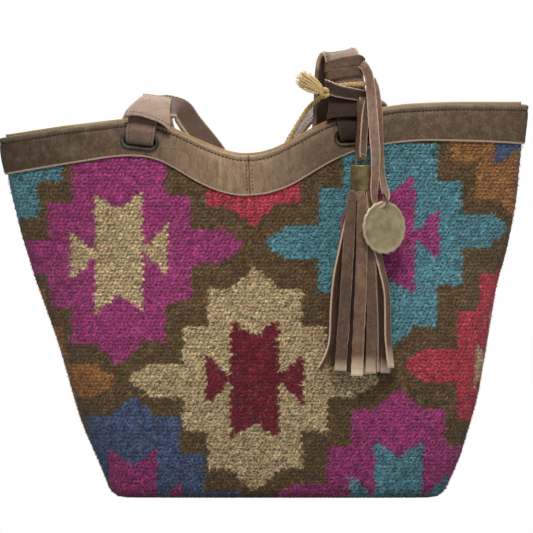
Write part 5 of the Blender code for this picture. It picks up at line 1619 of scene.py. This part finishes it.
def build_camera():
    camera = bpy.data.cameras.new("camera")
    camera.sensor_width = 36.0
    camera.lens = 36.0 * CAMERA_DISTANCE / (PHOTO * PIXEL)
    camera.clip_end = 50.0
    holder = bpy.data.objects.new("camera", camera)
    bpy.context.scene.collection.objects.link(holder)
    holder.location = (
        (PHOTO / 2.0 - PIXEL_X) * PIXEL, SCALE_PLANE - CAMERA_DISTANCE, (PIXEL_Z - PHOTO / 2.0) * PIXEL
    )
    holder.rotation_euler = (math.pi / 2.0, 0.0, 0.0)
    bpy.context.scene.camera = holder
    bpy.context.scene.view_settings.view_transform = "Standard"


def dress_cad(names, material):
    for name in names:
        node = bpy.data.objects[name]
        node.data.materials.clear()
        node.data.materials.append(material)


def make_walls(wool, rng):
    for name, back in (("woven_front", False), ("woven_back", True)):
        woven, area = kilim(name, back, wool, rng)
        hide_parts("kilim_back" if back else "kilim_front")


def make_bands(band_leather, thread):
    """The two bands, and the stitches along their top, their foot and their seams."""
    seam = share_at(SEAM_AT, NEAR_FOOT)
    bands = {}
    for side, start, end in (
        ("left", -seam + SEAM_GAP, seam - SEAM_GAP), ("right", seam + SEAM_GAP, 2.0 - seam - SEAM_GAP)
    ):
        made = band_sheet("leather_band_" + side, start, end, band_leather)
        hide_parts("band_left" if side == "left" else "band_right")
        bands[side] = made

    shares = np.linspace(0.0, 2.0, 1401)[:-1]
    off = LAYER_GAP + BAND
    along_rim = stitches_on_skin(shares, rim_at(shares) - 0.0052, off + 0.0002)
    along_foot = stitches_on_skin(shares, foot_at(shares) + 0.0019, off + 0.0001)
    add_stitches("band_stitches", [along_rim], thread, 0.0024, 0.0009)
    add_stitches("band_foot_stitches", [along_foot], thread, 0.0015, 0.0006)
    seam_lines = []
    for middle in (seam, 2.0 - seam):
        for apart in (-0.0052, 0.0052):
            here = np.array([middle + apart])
            foot, top = float(foot_at(here)[0]), float(rim_at(here)[0])
            z = np.linspace(foot + 0.0022, top - 0.0062, 60)
            seam_lines.append(stitches_on_skin(np.full(60, here[0]), z, off + 0.0003))
    add_stitches("band_seam_stitches", seam_lines, thread, 0.0023, 0.0009)
    return bands


def make_handles(strap_leather, tab_leather, shaded_leather, thread, bands, lining):
    """Tabs through their eyelets, the slots cut for them, and both handles."""
    for label, back, edges in (("front", False, SLEEVE_EDGES), ("back", True, SLEEVE_EDGES_BACK)):
        for side, where, lean, edge in zip(("left", "right"), EYELETS, TAB_LEANS, edges):
            # The front right tab takes the darker leather copy, as painted shade.
            hide = shaded_leather if (label, side) == ("front", "right") else tab_leather
            handle_tab(f"stitched_tab_{label}_{side}", where, lean, edge, back, hide, thread)
            here = eyelet_frame(*where, back)
            for sheet in (bands[side], lining):
                cut_slot(sheet, here, SLOT_LENGTH, SLOT_HEIGHT)
    handle("front_strap", "handle_front", shifted(FRONT_STRAP), (
        ("left", pixel_keys(SLEEVE_LEFT), strap_leather, 0.0046),
        ("right", pixel_keys(SLEEVE_RIGHT), shaded_leather, 0.0022),
    ), strap_leather, thread)
    handle("back_strap", "handle_back", shifted(BACK_STRAP), (
        ("left", shifted(BACK_SLEEVE_LEFT), strap_leather, 0.0040),
        ("right", shifted(BACK_SLEEVE_RIGHT), strap_leather, 0.0022),
    ), strap_leather, thread)


def make_laces(lace_leather):
    for name, table, node, body, worn, shade in (
        ("wrap_turns", WRAP, "wrap_lace", "bag", 0.2, 0.22),
        ("loose_turn", LOOSE_TURN, "wrap_lace", "bag", 1.0, 0.80),
        ("medallion_strand", MEDALLION_LACE, "medallion_lace", "bag", 1.0, 0.0),
        ("tassel_strand_right", TASSEL_LACES[0], "tassel_lace", "tassel", 1.0, 0.5),
        ("tassel_strand_left", TASSEL_LACES[1], "tassel_lace", "tassel", 0.55, 0.3),
    ):
        rows = smooth_keys(pixel_keys(table), 8)
        made = sweep(
            name, rows, lace_leather, 9.0, 20, body, worn, 0.024, len(name), shade=shade, fine=worn < 0.6
        )
        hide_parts(node)


def make_cord(jute, frayed, rng):
    """The free cord with its knot and its brush."""
    route = [(x, y + DEPTH, z) for x, y, z in CORD_ROUTE]
    brush, tied = frayed_brush(frayed, rng), knot(jute)
    cord, path, length = twisted_cord("jute_cord", route, CORD_RADIUS, 3, CORD_TURNS, jute)
    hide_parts("braid_cord")


def main():
    build_floor()
    build_studio()
    build_camera()
    rng = np.random.default_rng(11)

    wool = wool_material()
    # The band has painted light round its middle and painted shade at its left end.
    band_leather = leather_material(
        "band_leather", (90, 69, 46), (222, 192, 164), (44, 32, 22), 1.0, 0.46, fleck=0.16,
        glow=(-0.030, 0.062, (176, 146, 114)),
    )
    strap_leather = leather_material(
        "strap_leather", (170, 143, 124), (224, 196, 172), (112, 86, 70), 0.75, 0.42
    )
    tab_leather = leather_material("tab_leather", (132, 106, 88), (186, 158, 136), (76, 56, 45), 0.6, 0.46)
    # Painted shade: a darker copy of the leather for the front right sleeve and tab, which hang in shade.
    shaded_leather = leather_material(
        "shaded_leather", (54, 37, 26), (112, 84, 66), (34, 23, 15), 0.6, 0.78, fleck=0.15
    )
    lace_leather = leather_material(
        "lace_leather", (112, 82, 60), (232, 198, 170), (66, 44, 30), 0.95, 0.46, fleck=0.20
    )
    gunmetal = metal_material("gunmetal", (104, 104, 92), (62, 60, 52), (40, 36, 30))
    brass = metal_material("brass", (166, 148, 104), (116, 100, 68), (70, 56, 38))
    dark_brass = metal_material("dark_brass", (112, 98, 62), (72, 62, 42), (44, 36, 26))
    disc_brass = metal_material(
        "disc_brass", (190, 174, 138), (158, 142, 108), (110, 94, 66), 0.42, 1.6, 0.35
    )
    thread = thread_material("thread", (74, 54, 38))
    cotton = cotton_material()
    jute = thread_material("jute", (244, 204, 140))
    frayed = thread_material("frayed_jute", (255, 226, 166), 0.8)

    make_walls(wool, rng)
    bands = make_bands(band_leather, thread)
    lining = lining_sheet(cotton)
    make_handles(strap_leather, tab_leather, shaded_leather, thread, bands, lining)
    make_laces(lace_leather)
    tassel_strips(lace_leather)
    head_of_tassel(lace_leather)
    make_cord(jute, frayed, rng)
    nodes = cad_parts
    dress_cad([n for n in nodes if n.startswith("eyelet") and n.endswith("left")], gunmetal)
    dress_cad([n for n in nodes if n.startswith("eyelet") and n.endswith("right")], dark_brass)
    dress_cad([n for n in nodes if n.startswith("backing")], brass)
    dress_cad(["tassel_cap", "tassel_bail", "medallion_ring"], brass)
    scalloped_medallion(disc_brass, rng)


main()
